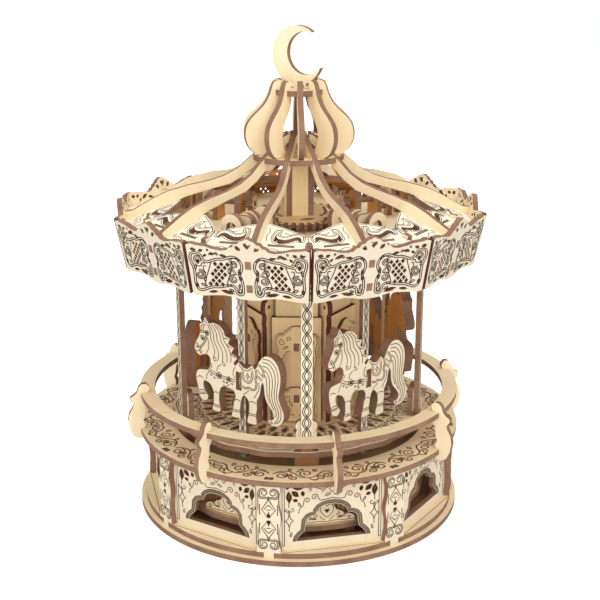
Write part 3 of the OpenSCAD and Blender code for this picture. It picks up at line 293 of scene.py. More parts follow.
# The inner deck, hub gear and tower pieces get the painted-shade edge
for node in ("inner_deck", "hub_gear"):
    dress(node, "up", golden_h, golden_h, edge_shade)
for node in ("wall_panels", "corner_posts"):
    dress(node, "out", bleached_v, amber_shade_v)
dress("fascia_panels", "out", bleached_lean, plain_v)
for node in ("tower_panels", "upper_tower", "door_frames"):
    dress(node, "out", golden_v, golden_v, edge_shade)
dress("bearing_arches", "out", plain_v, amber_shade_v)
for node in ("rail_brackets", "roof_ribs", "seam_brackets", "dome_ribs"):
    dress(node, "fin", plain_v)
dress("tower_fins", "fin", golden_v, None, edge_shade)
dress("crescent", horse_az(0), plain_v, plain_v)
for k in range(5):
    dress(f"outer_post_{k + 1}", "out", bleached_post, plain_v)
    dress(f"horse_{k + 1}", horse_az(k), bleached_v, amber_shade_v)
    dress(f"horse_pole_{k + 1}", horse_az(k), bleached_v, plain_v)
    dress(f"lift_shaft_{k + 1}", horse_az(k), plain_v)

# %% [markdown]
# Some solids need a rule of their own. The deck plates slope, so their faces are found by
# the slope. The scene plates stand on a lying ring, so both directions count. The fascia's
# inner side has painted shade, rust brown, on the boards at the back at rest, and the narrow
# grooves between its sheets are deep brown, a painted shade. The movement is metal all over,
# and the column has end grain at its corners.

# %% Solids with their own rule
mesh = coat("deck_plates", bleached_h, amber_shade_h, edge_brown)
for polygon in mesh.polygons:
    up = polygon.normal.z
    polygon.material_index = 0 if up > 0.8 else 1 if up < -0.8 else 2

mesh = coat("scene_plates", plain_v, golden_h, edge_brown)
for polygon in mesh.polygons:
    side = side_of("out", polygon.center, polygon.normal)
    on_shelf = polygon.center.z < Z_SHELF_TOP * MM
    polygon.material_index = 1 if polygon.normal.z > 0.9 else 2 if on_shelf or side == 2 else 0

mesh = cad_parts["fascia_panels"].data
mesh.materials.append(rust_shade_v)
mesh.materials.append(edge_shade)
for polygon in mesh.polygons:
    azimuth = degrees(atan2(polygon.center.x, -polygon.center.y)) - ROTOR_TURN
    from_seam = abs((azimuth + 18) % 36 - 18)
    # Painted shade: inner faces beyond the limit, on the back boards at rest, turn rust brown
    if polygon.material_index == 1 and polygon.center.y > FASCIA_SHADE_Y * MM:
        polygon.material_index = 3
    # Painted shade: the cut edges in the grooves between the fascia sheets get the darker edge
    elif polygon.material_index == 2 and from_seam < 1:
        polygon.material_index = 4

for node in ("spindle", "music_comb", "winding_key"):
    coat(node, nickel)
for node in ("movement_bedplate", "spring_barrel", "drive_pinion", "music_cylinder", "governor"):
    coat(node, brass)

mesh = coat("column_box", golden_v, edge_brown)
turn = Matrix.Rotation(-radians(2 * ROTOR_TURN), 3, "Z")
for polygon in mesh.polygons:
    at, normal = turn @ polygon.center, turn @ polygon.normal
    cut = abs(normal.z) > 0.9 or (abs(normal.y) > 0.9 and abs(at.x) > COLUMN_CORNER * MM)
    polygon.material_index = 1 if cut else 0

# %% [markdown]
# The curved wall behind the windows bends because the laser cut rows of slits into it. The
# slits are straight and 3 mm apart round the curve, so the angle round the axis, times the
# number of slits, gives the pattern: its cosine is over a limit inside a slit.

# %% Kerf-bent backdrop
kerf, tree, shader, place = start_material("basswood_kerf_bent")
xyz = add_node(tree, "ShaderNodeSeparateXYZ", {"Vector": place})
angle = add_node(tree, "ShaderNodeMath", {0: xyz.outputs[1], 1: xyz.outputs[0]}, operation="ARCTAN2")
slits = round(2 * pi * BACKDROP_FACE / KERF_PITCH)
wave = add_node(tree, "ShaderNodeMath", {0: angle.outputs[0], 1: float(slits)}, operation="MULTIPLY")
crest = add_node(tree, "ShaderNodeMath", {0: wave.outputs[0]}, operation="COSINE")
slit = add_node(tree, "ShaderNodeMath", {0: crest.outputs[0], 1: 0.8}, operation="GREATER_THAN")
streak = add_node(tree, "ShaderNodeMapping", {"Vector": place, "Scale": (500.0, 500.0, 12.0)})
pores = add_node(tree, "ShaderNodeTexNoise", {"Vector": streak.outputs[0], "Scale": 1.0, "Detail": 3.0})
wood = add_node(tree, "ShaderNodeMix", {"Factor": pores.outputs[0], 6: linear("#D6A45E"), 7: linear("#F2CF92")},
                data_type="RGBA")
tone = add_node(tree, "ShaderNodeMix", {"Factor": slit.outputs[0], 6: wood.outputs[2], 7: linear("#8A5A34")},
                data_type="RGBA")
tree.links.new(tone.outputs[2], shader.inputs["Base Color"])
shader.inputs["Roughness"].default_value = 0.65
shader.inputs["IOR"].default_value = 1.45
dress("backdrop_wall", "out", kerf, kerf, edge_brown)
print("solids dressed:", sum(len(n.data.materials) > 0 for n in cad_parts.values()))

# %% [markdown]
# ## Scored lines
# A scored line is about 0.4 mm wide. Some are drawn up to 0.6 mm wide, because they would
# be too fine to show, and the gallery's vine is burnt wider still. An artist draws a line
# as a path, so here each one is a poly spline with a thin bevel. Blender turns the curve
# into a mesh, which is pressed nearly flat on the sheet's face and copied to every place
# where the sheet repeats. That keeps the line sharp at any distance and needs no image.

# %% Drawing helpers, in millimetres
def smooth(points, steps=4, closed=False):
    """A curve that runs softly through the points."""
    count = len(points)
    pick = (lambda i: points[i % count]) if closed else (lambda i: points[min(max(i, 0), count - 1)])
    out = []
    for i in range(count if closed else count - 1):
        a, b, c, d = pick(i - 1), pick(i), pick(i + 1), pick(i + 2)
        for j in range(steps):
            t = j / steps
            out.append(tuple(0.5 * (2 * q + (r - p) * t + (2 * p - 5 * q + 4 * r - s) * t * t
                                    + (3 * q - p - 3 * r + s) * t ** 3) for p, q, r, s in zip(a, b, c, d)))
    return out + ([out[0]] if closed else [points[-1]])


def curl(x, y, r, start, turns, inner=0.3, n=10):
    """A spiral round (x, y) that closes to a share of its radius; turns may be negative."""
    n = max(6, int(n * abs(turns)))
    return [(x + r * (1 - (1 - inner) * i / n) * cos(radians(start) + 2 * pi * turns * i / n),
             y + r * (1 - (1 - inner) * i / n) * sin(radians(start) + 2 * pi * turns * i / n)) for i in range(n + 1)]


def rounded(x, y, r, n=12):
    """A small circle."""
    return [(x + r * cos(2 * pi * i / n), y + r * sin(2 * pi * i / n)) for i in range(n + 1)]


def petal(x, y, length, width, turn, n=5):
    """A leaf outline with two points."""
    half = [(length * (i / n - 0.5), width / 2 * sin(pi * i / n)) for i in range(n + 1)]
    loop = half + [(px, -py) for px, py in reversed(half[:-1])]
    c, s = cos(radians(turn)), sin(radians(turn))
    return [(x + px * c - py * s, y + px * s + py * c) for px, py in loop]


def star(x, y, w, h):
    """A four-pointed star with hollow sides."""
    return smooth([(x, y + h), (x + w * 0.3, y + h * 0.3), (x + w, y)], 2) + \
        smooth([(x + w, y), (x + w * 0.3, y - h * 0.3), (x, y - h)], 2) + \
        smooth([(x, y - h), (x - w * 0.3, y - h * 0.3), (x - w, y)], 2) + \
        smooth([(x - w, y), (x - w * 0.3, y + h * 0.3), (x, y + h)], 2)


def beside(points, by):
    """The same path moved sideways, to its right where the distance is positive."""
    closed, last, out = points[0] == points[-1], len(points) - 1, []
    for i, (x, y) in enumerate(points):
        ax, ay = points[i - 1] if i else points[-2] if closed else points[0]
        bx, by_ = points[i + 1] if i < last else points[1] if closed else points[-1]
        size = hypot(bx - ax, by_ - ay)
        out.append((x + by * (by_ - ay) / size, y - by * (bx - ax) / size))
    return out


def ribbon(points, width):
    """The two outlines of a ribbon that follows a path."""
    return [beside(points, width / 2), beside(points, -width / 2)]


def rosette(x, y, r):
    """Five small petals round a dot."""
    return [rounded(x + 0.6 * r * cos(2 * pi * i / 5 + 0.3), y + 0.6 * r * sin(2 * pi * i / 5 + 0.3), 0.36 * r, 7)
            for i in range(5)] + [rounded(x, y, 0.18 * r, 5)]


def mirrored(strokes):
    """The strokes and their mirror images across the middle line."""
    return strokes + [[(-x, y) for x, y in stroke] for stroke in strokes]


# %% Placing helpers
def facing(az, r, z0=0.0, lean=0.0):
    """Maps (sideways, up, proud) in millimetres on to a sheet that faces outwards."""
    out = Vector((sin(radians(az)), -cos(radians(az)), 0))
    side = Vector((cos(radians(az)), sin(radians(az)), 0))
    up = Vector((0, 0, cos(radians(lean)))) + out * sin(radians(lean))
    proud = out * cos(radians(lean)) - Vector((0, 0, sin(radians(lean))))
    return lambda v: (out * r + Vector((0, 0, z0)) + side * v.x + up * v.y + proud * v.z) * MM


def lying(az, z, slope=0.0):
    """Maps (sideways, outwards, proud) in millimetres on to a sheet that lies at height z."""
    out = Vector((sin(radians(az)), -cos(radians(az)), 0))
    side = Vector((cos(radians(az)), sin(radians(az)), 0))
    drop, proud = tan(radians(slope)), Vector((0, 0, 1))
    return lambda v: (side * v.x + out * v.y + Vector((0, 0, z - drop * v.y)) + proud * v.z) * MM


def round_ring(az, radius, z):
    """Maps (along the arc at the radius, outwards from it, proud) on to a lying ring."""
    def place(v):
        turn = radians(az) + v.x / radius
        return Vector((sin(turn) * (radius + v.y), -cos(turn) * (radius + v.y), z + v.z)) * MM
    return place


# All the solids as one searchable surface. A bevel without rounding gives each point of a
# path a ring of four vertices, and a ring farther than the reach, in millimetres, from the
# wood hangs over an opening. A stroke is pressed flat and lies a hair proud of its face.
corners, outlines = [], []
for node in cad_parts.values():
    outlines += [tuple(i + len(corners) for i in polygon.vertices) for polygon in node.data.polygons]
    corners += [vert.co.copy() for vert in node.data.vertices]
surface = BVHTree.FromPolygons(corners, outlines)
RING = 4
REACH = 0.3
FLATTEN, PROUD = 0.12, 0.04


def score(name, body, strokes, places, width=0.4, material=None):
    """Burns the strokes on the sheets at the places, as one piece that rides on a body.

    Where a stroke crosses an opening there is no wood to burn, so its rings are left out there.
    """
    curve = bpy.data.curves.new(name + "_path", "CURVE")
    curve.dimensions, curve.bevel_depth, curve.bevel_resolution = "3D", width / 2, 0
    for stroke in strokes:
        spline = curve.splines.new("POLY")
        spline.points.add(len(stroke) - 1)
        for point, (x, y) in zip(spline.points, stroke):
            point.co = (x, y, 0, 1)
    drawn = bpy.data.objects.new(name + "_path", curve)
    bpy.context.collection.objects.link(drawn)
    flat = bpy.data.meshes.new_from_object(drawn)
    bpy.data.objects.remove(drawn)
    work = bmesh.new()
    for place in places:
        before = len(work.verts)
        work.from_mesh(flat)
        work.verts.ensure_lookup_table()
        for vert in work.verts[before:]:
            vert.co = place(Vector((vert.co.x, vert.co.y, PROUD + FLATTEN * vert.co.z)))
    in_air = {i // RING for i, vert in enumerate(work.verts)
              if surface.find_nearest(vert.co, REACH * MM)[0] is None}
    bmesh.ops.delete(work, geom=[vert for i, vert in enumerate(work.verts) if i // RING in in_air], context="VERTS")
    bmesh.ops.delete(work, geom=[vert for vert in work.verts if not vert.link_faces], context="VERTS")
    bmesh.ops.recalc_face_normals(work, faces=work.faces)
    mesh = bpy.data.meshes.new(name)
    work.to_mesh(mesh)
    work.free()
    piece = bpy.data.objects.new(name, mesh)
    bpy.context.collection.objects.link(piece)
    mesh.materials.append(material or scored)
    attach(piece, body)
    print(f"{name}: {len(strokes)} strokes at {len(places)} places, {len(mesh.polygons)} faces")


# %% [markdown]
# ## Braided posts and poles
# Each outer post and horse pole is scored with two ribbons that cross every 7.3 mm. A
# ribbon is a cosine, and its two outlines are the same cosine moved sideways.

# %% Braid
def braid(half, band, z0, z1):
    """The outlines of two ribbons that cross each other up a strip."""
    strokes = []
    count = round((z1 - z0) / BRAID * 8)
    for hand in (-1, 1):
        for edge in (-band, band):
            strokes.append([(hand * half * cos(pi * (z - z0) / BRAID) + edge, z)
                            for z in (z0 + (z1 - z0) * i / count for i in range(count + 1))])
    return strokes


for k in range(5):
    score(f"outer_post_{k + 1}_braid", "carousel", braid(1.9, 0.62, Z_POST_FOOT + 0.3, Z_MECH - 0.5),
          [facing(ROTOR_TURN + 72 * k, POST_R + PLY / 2)], 0.58)
    lift = HORSE_LIFT[k]
    stretches = [(48, 84), (HOOF + 20, HOOF + 31), (HOOF + 37.4, 182)]
    score(f"horse_pole_{k + 1}_braid", f"rider_{k + 1}",
          [stroke for low, high in stretches for stroke in braid(1.25, 0.45, low + lift, high + lift)],
          [facing(horse_az(k), POLE_R + PLY / 2)], 0.46)

# %% [markdown]
# ## Walls and corner posts
# Each wall has a scored band round its window, a pair of pinstripes at each side, and
# stars that hang from knots. The corner posts carry scrolls over a lattice of diamonds.
# These are common ornaments of fairground joinery, so they are drawn from plain curls and
# stars.

# %% Wall panels
WINDOW = [(21.2, 4.9), (20.8, 6.7), (18.8, 9), (16.6, 11), (16, 14.8), (15.8, 17.6), (14.4, 19.6), (12, 20.5),
          (9.8, 20.9), (9.1, 23.4), (7.6, 25.1), (5, 26.5), (1.6, 27.2)]


def arch(by):
    """One unbroken line round the window, at a distance from its edge."""
    half = beside(WINDOW, by)
    half[0] = (half[0][0], WINDOW[0][1])
    return half + [(-x, y) for x, y in reversed(half)]


wall_places = [facing(BASE_TURN + 45 * k, WALL_FACE, Z_FLOOR) for k in range(8)]
wall_side = [[(28.6, 2.6), (28.6, 41.6), (29.9, 41.6), (29.9, 2.6), (28.6, 2.6)], [(23.2, 41.8), (12.4, 41.8)],
             [(25.9, 30.4), (25.9, 27)], curl(24.2, 25.6, 1.7, 0, -0.9), curl(27.3, 25.6, 1.4, 180, 0.9),
             rounded(25.9, 23.6, 0.6, 8), star(25.7, 18.4, 2.7, 4.8), [(25.7, 13.6), (25.7, 11.6)],
             curl(13.4, 40.2, 1.3, 60, 0.9), curl(13.4, 37.6, 1.2, -60, -0.9), curl(11.4, 38.9, 1, 0, 0.8),
             star(5.6, 38.2, 4.4, 2.9), rounded(5.6, 38.2, 0.8, 6), petal(19.6, 28.4, 3, 1.1, 60),
             curl(15, 30.6, 2, -20, 1.3, 0.2), smooth([(16.9, 30), (17.6, 27.4), (19.6, 25.4), (20, 22.6)], 4),
             curl(10.6, 32.4, 2.2, 180, -1.3, 0.2), smooth([(8.4, 32.4), (7.4, 30.2), (4.2, 30.2), (0, 31)], 4),
             petal(2.6, 33.4, 3.4, 1.4, -20), [(0, 34.6), (1.8, 36.8), (0, 39)], petal(24.6, 9.6, 3, 1.2, 100)]
score("wall_panel_lines", "base", mirrored(wall_side) + [arch(0.55)], wall_places, 0.5)
score("wall_window_bands", "base", [arch(1.5)], wall_places, 1.3, shaded_line)
score("wall_window_rims", "base", [arch(2.4)], wall_places, 0.4)

# %% Corner posts
MID = 21.7
diamonds = [[(0, MID + 1.4 + 11 * size), (-4.2 * size, MID + 6), (0, MID + 6 - 5.3 * size), (4.2 * size, MID + 6),
             (0, MID + 1.4 + 11 * size)] for size in (1.0, 0.7, 0.4)]
scroll = smooth([(0, MID + 12.4), (1.8, MID + 13.2), (4.7, MID + 13.1), (6.1, MID + 15.5), (5.5, MID + 18.4),
                 (3, MID + 19.4), (1, MID + 17.8), (1.4, MID + 15.7), (3.2, MID + 15.2), (4.1, MID + 16.7),
                 (3.2, MID + 17.4)], 4)
post_side = [scroll, beside(scroll, -0.9)[2:26], [(0, MID + 12.4), (0, MID + 14.6)],
             [(5.2, MID + 9.4), (5.5, MID + 6), (5.2, MID + 2.6)]]
upper = mirrored(post_side) + diamonds
score("corner_post_lines", "base", upper + [[(x, 2 * MID - y) for x, y in stroke] for stroke in upper],
      [facing(BASE_TURN - 22.5 + 45 * k, CORNER_FACE, Z_FLOOR) for k in range(8)], 0.56)

# %% Scene plates behind the windows
cloud = [smooth([(0, 3.4), (-2.2, 5.2), (-3.9, 8), (-3.6, 10.8), (-1.8, 12.2), (0, 11)], 4),
         curl(-6.8, 5.2, 1.5, 90, 1.2), curl(-10.2, 3.9, 1.2, 90, 1.2), curl(-13.4, 2.4, 1.1, 90, 1.2),
         smooth([(-16.4, 1.2), (-12, 0.8), (-6, 1.2), (0, 0.8)], 3), smooth([(-4.4, 4.6), (-3, 2.8), (-1.2, 2)], 3)]
score("scene_plate_lines", "base", mirrored(cloud),
      [facing(BASE_TURN + 45 * k, SCENE_FACE, Z_SHELF_TOP) for k in range(8)], 0.42, burnt)

# %% Border of the floor
score("floor_border", "base", [[(-30, 94.5), (30, 94.5)]],
      [lying(BASE_TURN + 45 * k, Z_FLOOR) for k in range(8)], 0.4, burnt)

# %% [markdown]
# ## Rings
# The gallery ring is scored with a vine that runs round it. It is drawn straight, once for
# an eighth of the ring, and then bent round the axis as it is placed. The platform carries
# rings of petals, so each pierced petal gets an outline.

# %% Gallery vine
GALLERY_MID = 91.5
vine_places = [round_ring(BASE_TURN - 22.5 + 45 * k, GALLERY_MID, Z_GALLERY_TOP) for k in range(8)]
stem = smooth([(1.2, 0.4), (4.6, -3.4), (9.4, -4.2), (13.6, -1.4), (16.4, 2.6), (20.6, 4.4), (25.4, 2.8), (28.4, -1),
               (31.8, -3.4), (35.6, -2.6)], 4)
vine = [stem, curl(6.2, 1.6, 4.4, 240, 1.4, 0.2), curl(13.2, 4.4, 2.6, 200, -1.2, 0.25),
        curl(20.4, -1.4, 4.4, 100, 1.4, 0.2), curl(27.8, 4.6, 2.7, 240, 1.2, 0.25),
        curl(32.4, 1.4, 3.4, -60, 1.3, 0.2), curl(10.8, -6.4, 1.5, 60, 1.0), curl(25.6, -5.4, 1.8, 120, -1.1),
        smooth([(22, 5.2), (24, 7.4), (26.6, 7)], 3), smooth([(14.8, -3), (17, -6.2), (19.4, -6.6)], 3)]
score("gallery_vine", "base", mirrored(vine), vine_places, 0.95, burnt)
leaves = [[(17.2, -6.4), (19.2, -6.7)], [(24.2, 7.5), (26.2, 7.1)], [(1.4, 5), (1.8, 7.6)]]
score("gallery_leaves", "base", mirrored(leaves), vine_places, 1.6, burnt)

# %% Platform rosette
def ring_line(radius, ripple=0.0, count=1, n=180):
    """A circle, or a rippled one, seen from above."""
    return [(sin(2 * pi * i / n) * (radius + ripple * cos(count * 2 * pi * i / n)),
             cos(2 * pi * i / n) * (radius + ripple * cos(count * 2 * pi * i / n))) for i in range(n + 1)]


def turned(strokes, by):
    """The strokes turned clockwise, by degrees, round the axis of a ring seen from above."""
    c, s = cos(radians(by)), sin(radians(by))
    return [[(x * c + y * s, y * c - x * s) for x, y in stroke] for stroke in strokes]


score("platform_rings", "carousel", [ring_line(42.6), ring_line(52.3, 0.5, 40, 240), ring_line(64, 0.5, 40, 240),
                                     ring_line(78.4, 0.6, 20, 240), ring_line(77, 0.6, 20, 240)],
      [lying(ROTOR_TURN, Z_DECK)], 0.56)
fan = [petal(0, 57.8, 11, 4.7, 90), curl(1.9, 65.9, 1.3, 200, 1.1), curl(-1.9, 65.9, 1.3, -20, -1.1),
       petal(0, 69.4, 3.4, 1.5, 90)]
buds = turned([petal(0, 47.7, 8.8, 4.2, 90), petal(0, 67.9, 6.4, 3.8, 90), petal(0, 55.4, 4, 1.1, 90),
               rounded(0, 60.2, 0.8, 8)], 4.5)
# A horse pole stands in place of every eighth fan
score("platform_fans", "carousel", fan, [lying(ROTOR_TURN + 9 * i, Z_DECK) for i in range(40) if i % 8 != 4], 0.56)
score("platform_buds", "carousel", buds, [lying(ROTOR_TURN + 9 * i, Z_DECK) for i in range(40)], 0.56)

# %% [markdown]
# ## Horses
# A carousel horse wears a bridle, a breast band with rosettes, a saddle and a scalloped
# cloth. The laser draws them all on the one flat sheet, and long parallel waves turn the
# mane and the tail into hair. The lines are drawn once, and every horse gets a copy that
# rides up and down with it.

# %% Horse lines
head = [petal(-26.2, 47.4, 2.9, 1.6, -24), rounded(-26.1, 47.3, 0.42, 6),
        smooth([(-28.1, 48.5), (-26.2, 49.2), (-24.3, 47.8)], 3),
        smooth([(-31.3, 41), (-30.5, 41.7), (-29.9, 40.9)], 3),
        smooth([(-31.9, 39.2), (-30, 38.7), (-28.4, 39.5)], 3),
        smooth([(-23.6, 38.6), (-22, 41.4), (-21.7, 45.2), (-22.4, 48.6)], 4),
        [(-24.7, 57.6), (-23.8, 60), (-22.5, 57.4)], smooth([(-24.9, 57), (-26.9, 55.2), (-27, 52.6)], 3),
        smooth([(-23.6, 56.8), (-25.4, 54.8), (-25.4, 52.6)], 3)]
bridle = ribbon(smooth([(-30.9, 43.9), (-29.3, 41.9), (-27.9, 39.6), (-27.3, 37.3)], 3), 1.1) + \
    ribbon(smooth([(-28.2, 41.2), (-25.9, 43.8), (-24, 46.8), (-23.2, 50.2)], 3), 0.9) + \
    ribbon(smooth([(-27.7, 51.6), (-25.6, 51.9), (-23.6, 51.6)], 2), 0.9) + rosette(-22.6, 51.6, 1.7)
mane = [smooth(path, 4) for path in (
    [(-22.2, 57), (-20.2, 52.6), (-19.9, 48), (-18, 43.6), (-17.4, 39.6), (-18.6, 36.6)],
    [(-21.2, 57.4), (-18.2, 52.6), (-17.6, 47.4), (-15, 42.4), (-14.6, 37.6), (-15.6, 35)],
    [(-19.6, 58), (-16, 53), (-15.2, 47.8), (-12.2, 43), (-11.4, 38), (-12, 35)],
    [(-17.6, 58.2), (-13.6, 53.4), (-12.6, 48.4), (-9.4, 43.6), (-8.2, 38.8), (-8.6, 35.4)],
    [(-15.4, 57.6), (-11.6, 54), (-10.4, 49.4), (-7, 44.6), (-5.4, 39.8), (-5.6, 36)],
    [(-10.2, 50.4), (-8.6, 50.6), (-7.2, 50.4)], [(-8.4, 46.8), (-6.4, 45.8), (-4.6, 45.3)],
    [(-6.4, 42.2), (-4.4, 40.6), (-2.4, 39.6)])] + [curl(-17.1, 35.6, 1.5, 60, 1.0), curl(-10.4, 34, 1.5, 100, 1.0)]
harness = ribbon(smooth([(-22.6, 28.9), (-17.6, 26.6), (-10.4, 25.4), (-2.8, 25)], 4), 1.4) + \
    rosette(-14.4, 26, 2.3) + rosette(-7.2, 25.1, 1.9) + \
    [rounded(x, y, 0.6, 7) for x, y in ((-20.2, 25.4), (-17.8, 24), (-11, 22.8), (-8.8, 22.4), (-4.8, 22.6))] + \
    ribbon(smooth([(12.9, 31), (14.8, 30.4), (16.8, 28.9)], 3), 1.1)
saddle = [smooth([(2.6, 33.4), (2.7, 28.8), (4.2, 26.2), (7.4, 25.4), (9.7, 27.6), (10.5, 31), (10.1, 34.2)], 4),
          smooth([(3.6, 32.4), (3.7, 29.2), (4.8, 27.2), (7.2, 26.5), (8.8, 28.2), (9.4, 31), (9.1, 33)], 4),
          smooth([(0.1, 36), (3, 33.6), (6.8, 33.2), (9.9, 35.8)], 4), star(6.6, 29.8, 1.5, 2.1),
          smooth([(-2.4, 33.8), (-3.8, 31.4), (-3.9, 28.6), (-2.6, 27)], 4)] + \
    ribbon(smooth([(2.6, 22.7), (4.9, 21.7), (7.2, 22.7), (9.6, 21.8), (12, 22.8), (12.9, 26), (12.1, 29),
                   (12.9, 32), (12.3, 35)], 4), 0.9)
body_lines = [smooth(path, 4) for path in (
    [(-20.7, 33.2), (-19.6, 31.2), (-20.6, 29.6)], [(-21.4, 27.4), (-23.6, 24.6), (-23.8, 21.6)],
    [(-12.8, 33.4), (-15.2, 31.4), (-16, 28.4)], [(-6.8, 22), (-9, 20.2), (-11.8, 20.4)],
    [(-30.9, 22), (-28.8, 23), (-26.6, 22)], [(-29.7, 13.4), (-27.4, 14.4), (-25.4, 13.9)],
    [(-18.9, 14.2), (-16.8, 15), (-14.7, 14.2)], [(14.4, 27.4), (14.6, 23.4), (12.6, 19.4), (11, 16.8)],
    [(3.2, 17.6), (5.8, 19.4), (7.4, 21)], [(7.2, 13.6), (9.6, 14.4), (12.3, 13.6)],
    [(-2.9, 12.6), (-1, 13.4), (1, 12.4)])]
hooves = [[(-29.5, 11.3), (-24.1, 12.2)], [(-29.7, 12.2), (-24.8, 13)], [(-18.9, 5.6), (-14.3, 5.4)],
          [(-18.8, 6.7), (-14.5, 6.5)], [(6.9, 5.2), (11.9, 5.4)], [(7.1, 6.3), (12, 6.5)], [(-4.3, 5.3), (0.2, 5.5)],
          [(-4.1, 6.4), (0.3, 6.6)]]
tail = [smooth(path, 4) for path in (
    [(17.6, 42.6), (22.6, 42.4), (26.8, 38.4), (28.2, 31.6), (27.2, 24.6), (27.4, 18.6), (30, 12.6), (29.6, 7),
     (26.6, 3.8)],
    [(17.4, 40.6), (22, 40), (25.4, 35.8), (26.2, 29.6), (25.4, 23), (26, 17.4), (28.2, 12), (28, 7.6), (25.2, 3.6)],
    [(17.6, 38.4), (21, 37.6), (23.6, 33.6), (24.2, 28), (23.6, 22), (24.4, 16.8), (26.6, 11.6), (26.4, 8)],
    [(18, 35.8), (20.4, 34.6), (22, 30.8), (22, 25.6), (22, 20), (23.4, 15.2), (25.2, 12)],
    [(18.2, 33), (19.8, 31), (20.2, 26.6), (20.4, 20.8), (22, 16.2)])] + \
    ribbon(smooth([(14.4, 38.6), (16.6, 37.2), (17.9, 34.2), (17.6, 31)], 3), 1.0) + \
    [smooth([(13.6, 35.4), (15, 33.4), (16.9, 32.2)], 3), curl(23.6, 4, 1.1, 90, 0.8)]
horse_strokes = head + bridle + mane + harness + saddle + body_lines + hooves + tail
for k in range(5):
    score(f"horse_{k + 1}_lines", f"rider_{k + 1}", horse_strokes,
          [facing(horse_az(k), HORSE_FACE, HOOF + HORSE_LIFT[k])], 0.48)

# %% [markdown]
# ## Tower
# The tower inside the carousel has door frames that hold on with tenons. Their ends show
# as small brown blocks in the middle of each frame, because a tenon's end is a cut edge.

# %% Door frames and arches
frame_side = [(11.4, 0.8), (12.6, 3), (11.6, 6.5), (12.2, 11), (11.2, 16), (12.4, 22), (11.6, 29), (12, 36),
              (13.2, 42), (12.2, 47.5), (13.4, 51), (13.2, 55), (11, 57.4), (8.4, 57.4), (6.6, 59.6), (3.2, 62)]
opening = [(4.4, 22.4), (6.2, 20.6), (8.2, 22.6), (8, 30), (8.4, 38), (7.4, 42.6), (5.2, 45.6), (3.8, 46.4)]
door_lines = [beside(frame_side, -0.9), beside(opening, 0.9), curl(6.4, 15.4, 2.6, 100, 1.2),
              curl(5.6, 8.4, 2.4, -80, -1.2),
              smooth([(1.2, 4), (3.4, 5.4), (8.8, 5), (10, 9.6), (9.4, 14.4)], 4), petal(3.4, 12.2, 4, 1.5, 70),
              curl(8.6, 52.4, 2.2, 100, -1.2), curl(4.4, 54.6, 1.7, -60, 1.1), petal(6.6, 49, 3.4, 1.4, -30),
              smooth([(9.8, 24), (10.2, 31), (10, 38), (10.6, 43)], 4)]
arch_lines = [beside([(9.6, 10), (11, 13), (10.4, 17), (8.2, 19), (6.6, 21.4), (4, 23.6)], -0.9),
              curl(6.6, 15, 2.1, 90, 1.2), curl(3.4, 17.6, 1.4, -90, 1.1), petal(3.2, 14, 3, 1.2, 30)]
tower_azimuths = [TOWER_TURN + 60 * k for k in range(6)]
score("door_frame_lines", "carousel", mirrored(door_lines),
      [facing(az, DOOR_FACE, Z_DECK) for az in tower_azimuths], 0.42, burnt)
score("tower_arch_lines", "carousel", mirrored(arch_lines),
      [facing(az, ARCH_FACE, Z_TIER) for az in tower_azimuths], 0.42, burnt)

# %% Tenon ends
TENON_LONG, TENON_THICK = 5, 0.8


def tenon_ends(name, r, heights):
    """Small blocks of charred end grain, as one piece, on the middle line of each face."""
    work = bmesh.new()
    for az in tower_azimuths:
        place = facing(az, r)
        for z in heights:
            block = bmesh.ops.create_cube(work, size=1.0)["verts"]
            for vert in block:
                vert.co = place(Vector((vert.co.x * PLY, z + vert.co.y * TENON_LONG, vert.co.z * TENON_THICK)))
    bmesh.ops.recalc_face_normals(work, faces=work.faces)
    bmesh.ops.bevel(work, geom=list(work.edges), offset=0.12 * MM, affect="EDGES", segments=1, profile=0.5,
                    material=-1)
    mesh = bpy.data.meshes.new(name)
    work.to_mesh(mesh)
    work.free()
    piece = bpy.data.objects.new(name, mesh)
    bpy.context.collection.objects.link(piece)
    mesh.materials.append(edge_brown)
    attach(piece, "carousel")
    print(f"{name}: {len(tower_azimuths) * len(heights)} blocks")


tenon_ends("door_frame_tenon_ends", DOOR_FACE, (Z_DECK + 15.6, Z_DECK + 49.2))
tenon_ends("tower_arch_tenon_ends", ARCH_FACE, (Z_TIER + 20.4,))

# %% [markdown]
# ## Canopy
# The fascia is the showpiece. Each panel has two mirrored halves: a double line like the
# outline of a viola runs round the pierced lattice, and curls and leaves fill its
# corners. The sloping deck plates behind it have a double edge line and scored bars.

# %% Fascia
viola = smooth([(3.2, 8.6), (3, 5.2), (3.4, 1.8), (5.6, 0.6), (7.8, 2), (8.2, 4.6), (10.2, 6), (13.6, 5.4), (17, 4.6),
                (20.6, 4.4), (24.4, 3), (27.6, 2), (30, 3.4), (31.2, 7), (31.2, 11.4), (31.4, 15.4), (32.4, 18.6),
                (33.2, 21.8), (32.2, 24.8), (29, 25.6), (26.4, 24.4), (25.2, 22), (23.2, 20.6), (20.4, 21.6),
                (17.4, 22.6), (13.8, 22.8), (10.4, 24.2), (7, 24.2), (4.2, 22), (3, 18.8), (3.4, 16), (4.6, 13.4),
                (3.8, 11)], 3, True)
lattice_left = smooth([(9.4, 21.8), (9, 18), (10.2, 14), (11.8, 10), (12.6, 7.2)], 4)
lattice_right = smooth([(20.9, 20), (22.2, 16), (23.8, 11.6), (24.9, 7.6), (25.2, 5)], 4)
scroll = curl(8.2, 19, 3.1, -60, 1.5, 0.12, 12)[::-1] + curl(8.6, 10.4, 3.2, 110, -1.5, 0.12, 12)
roundel = curl(27.5, 11.8, 3.4, 80, 1.7, 0.12, 12)
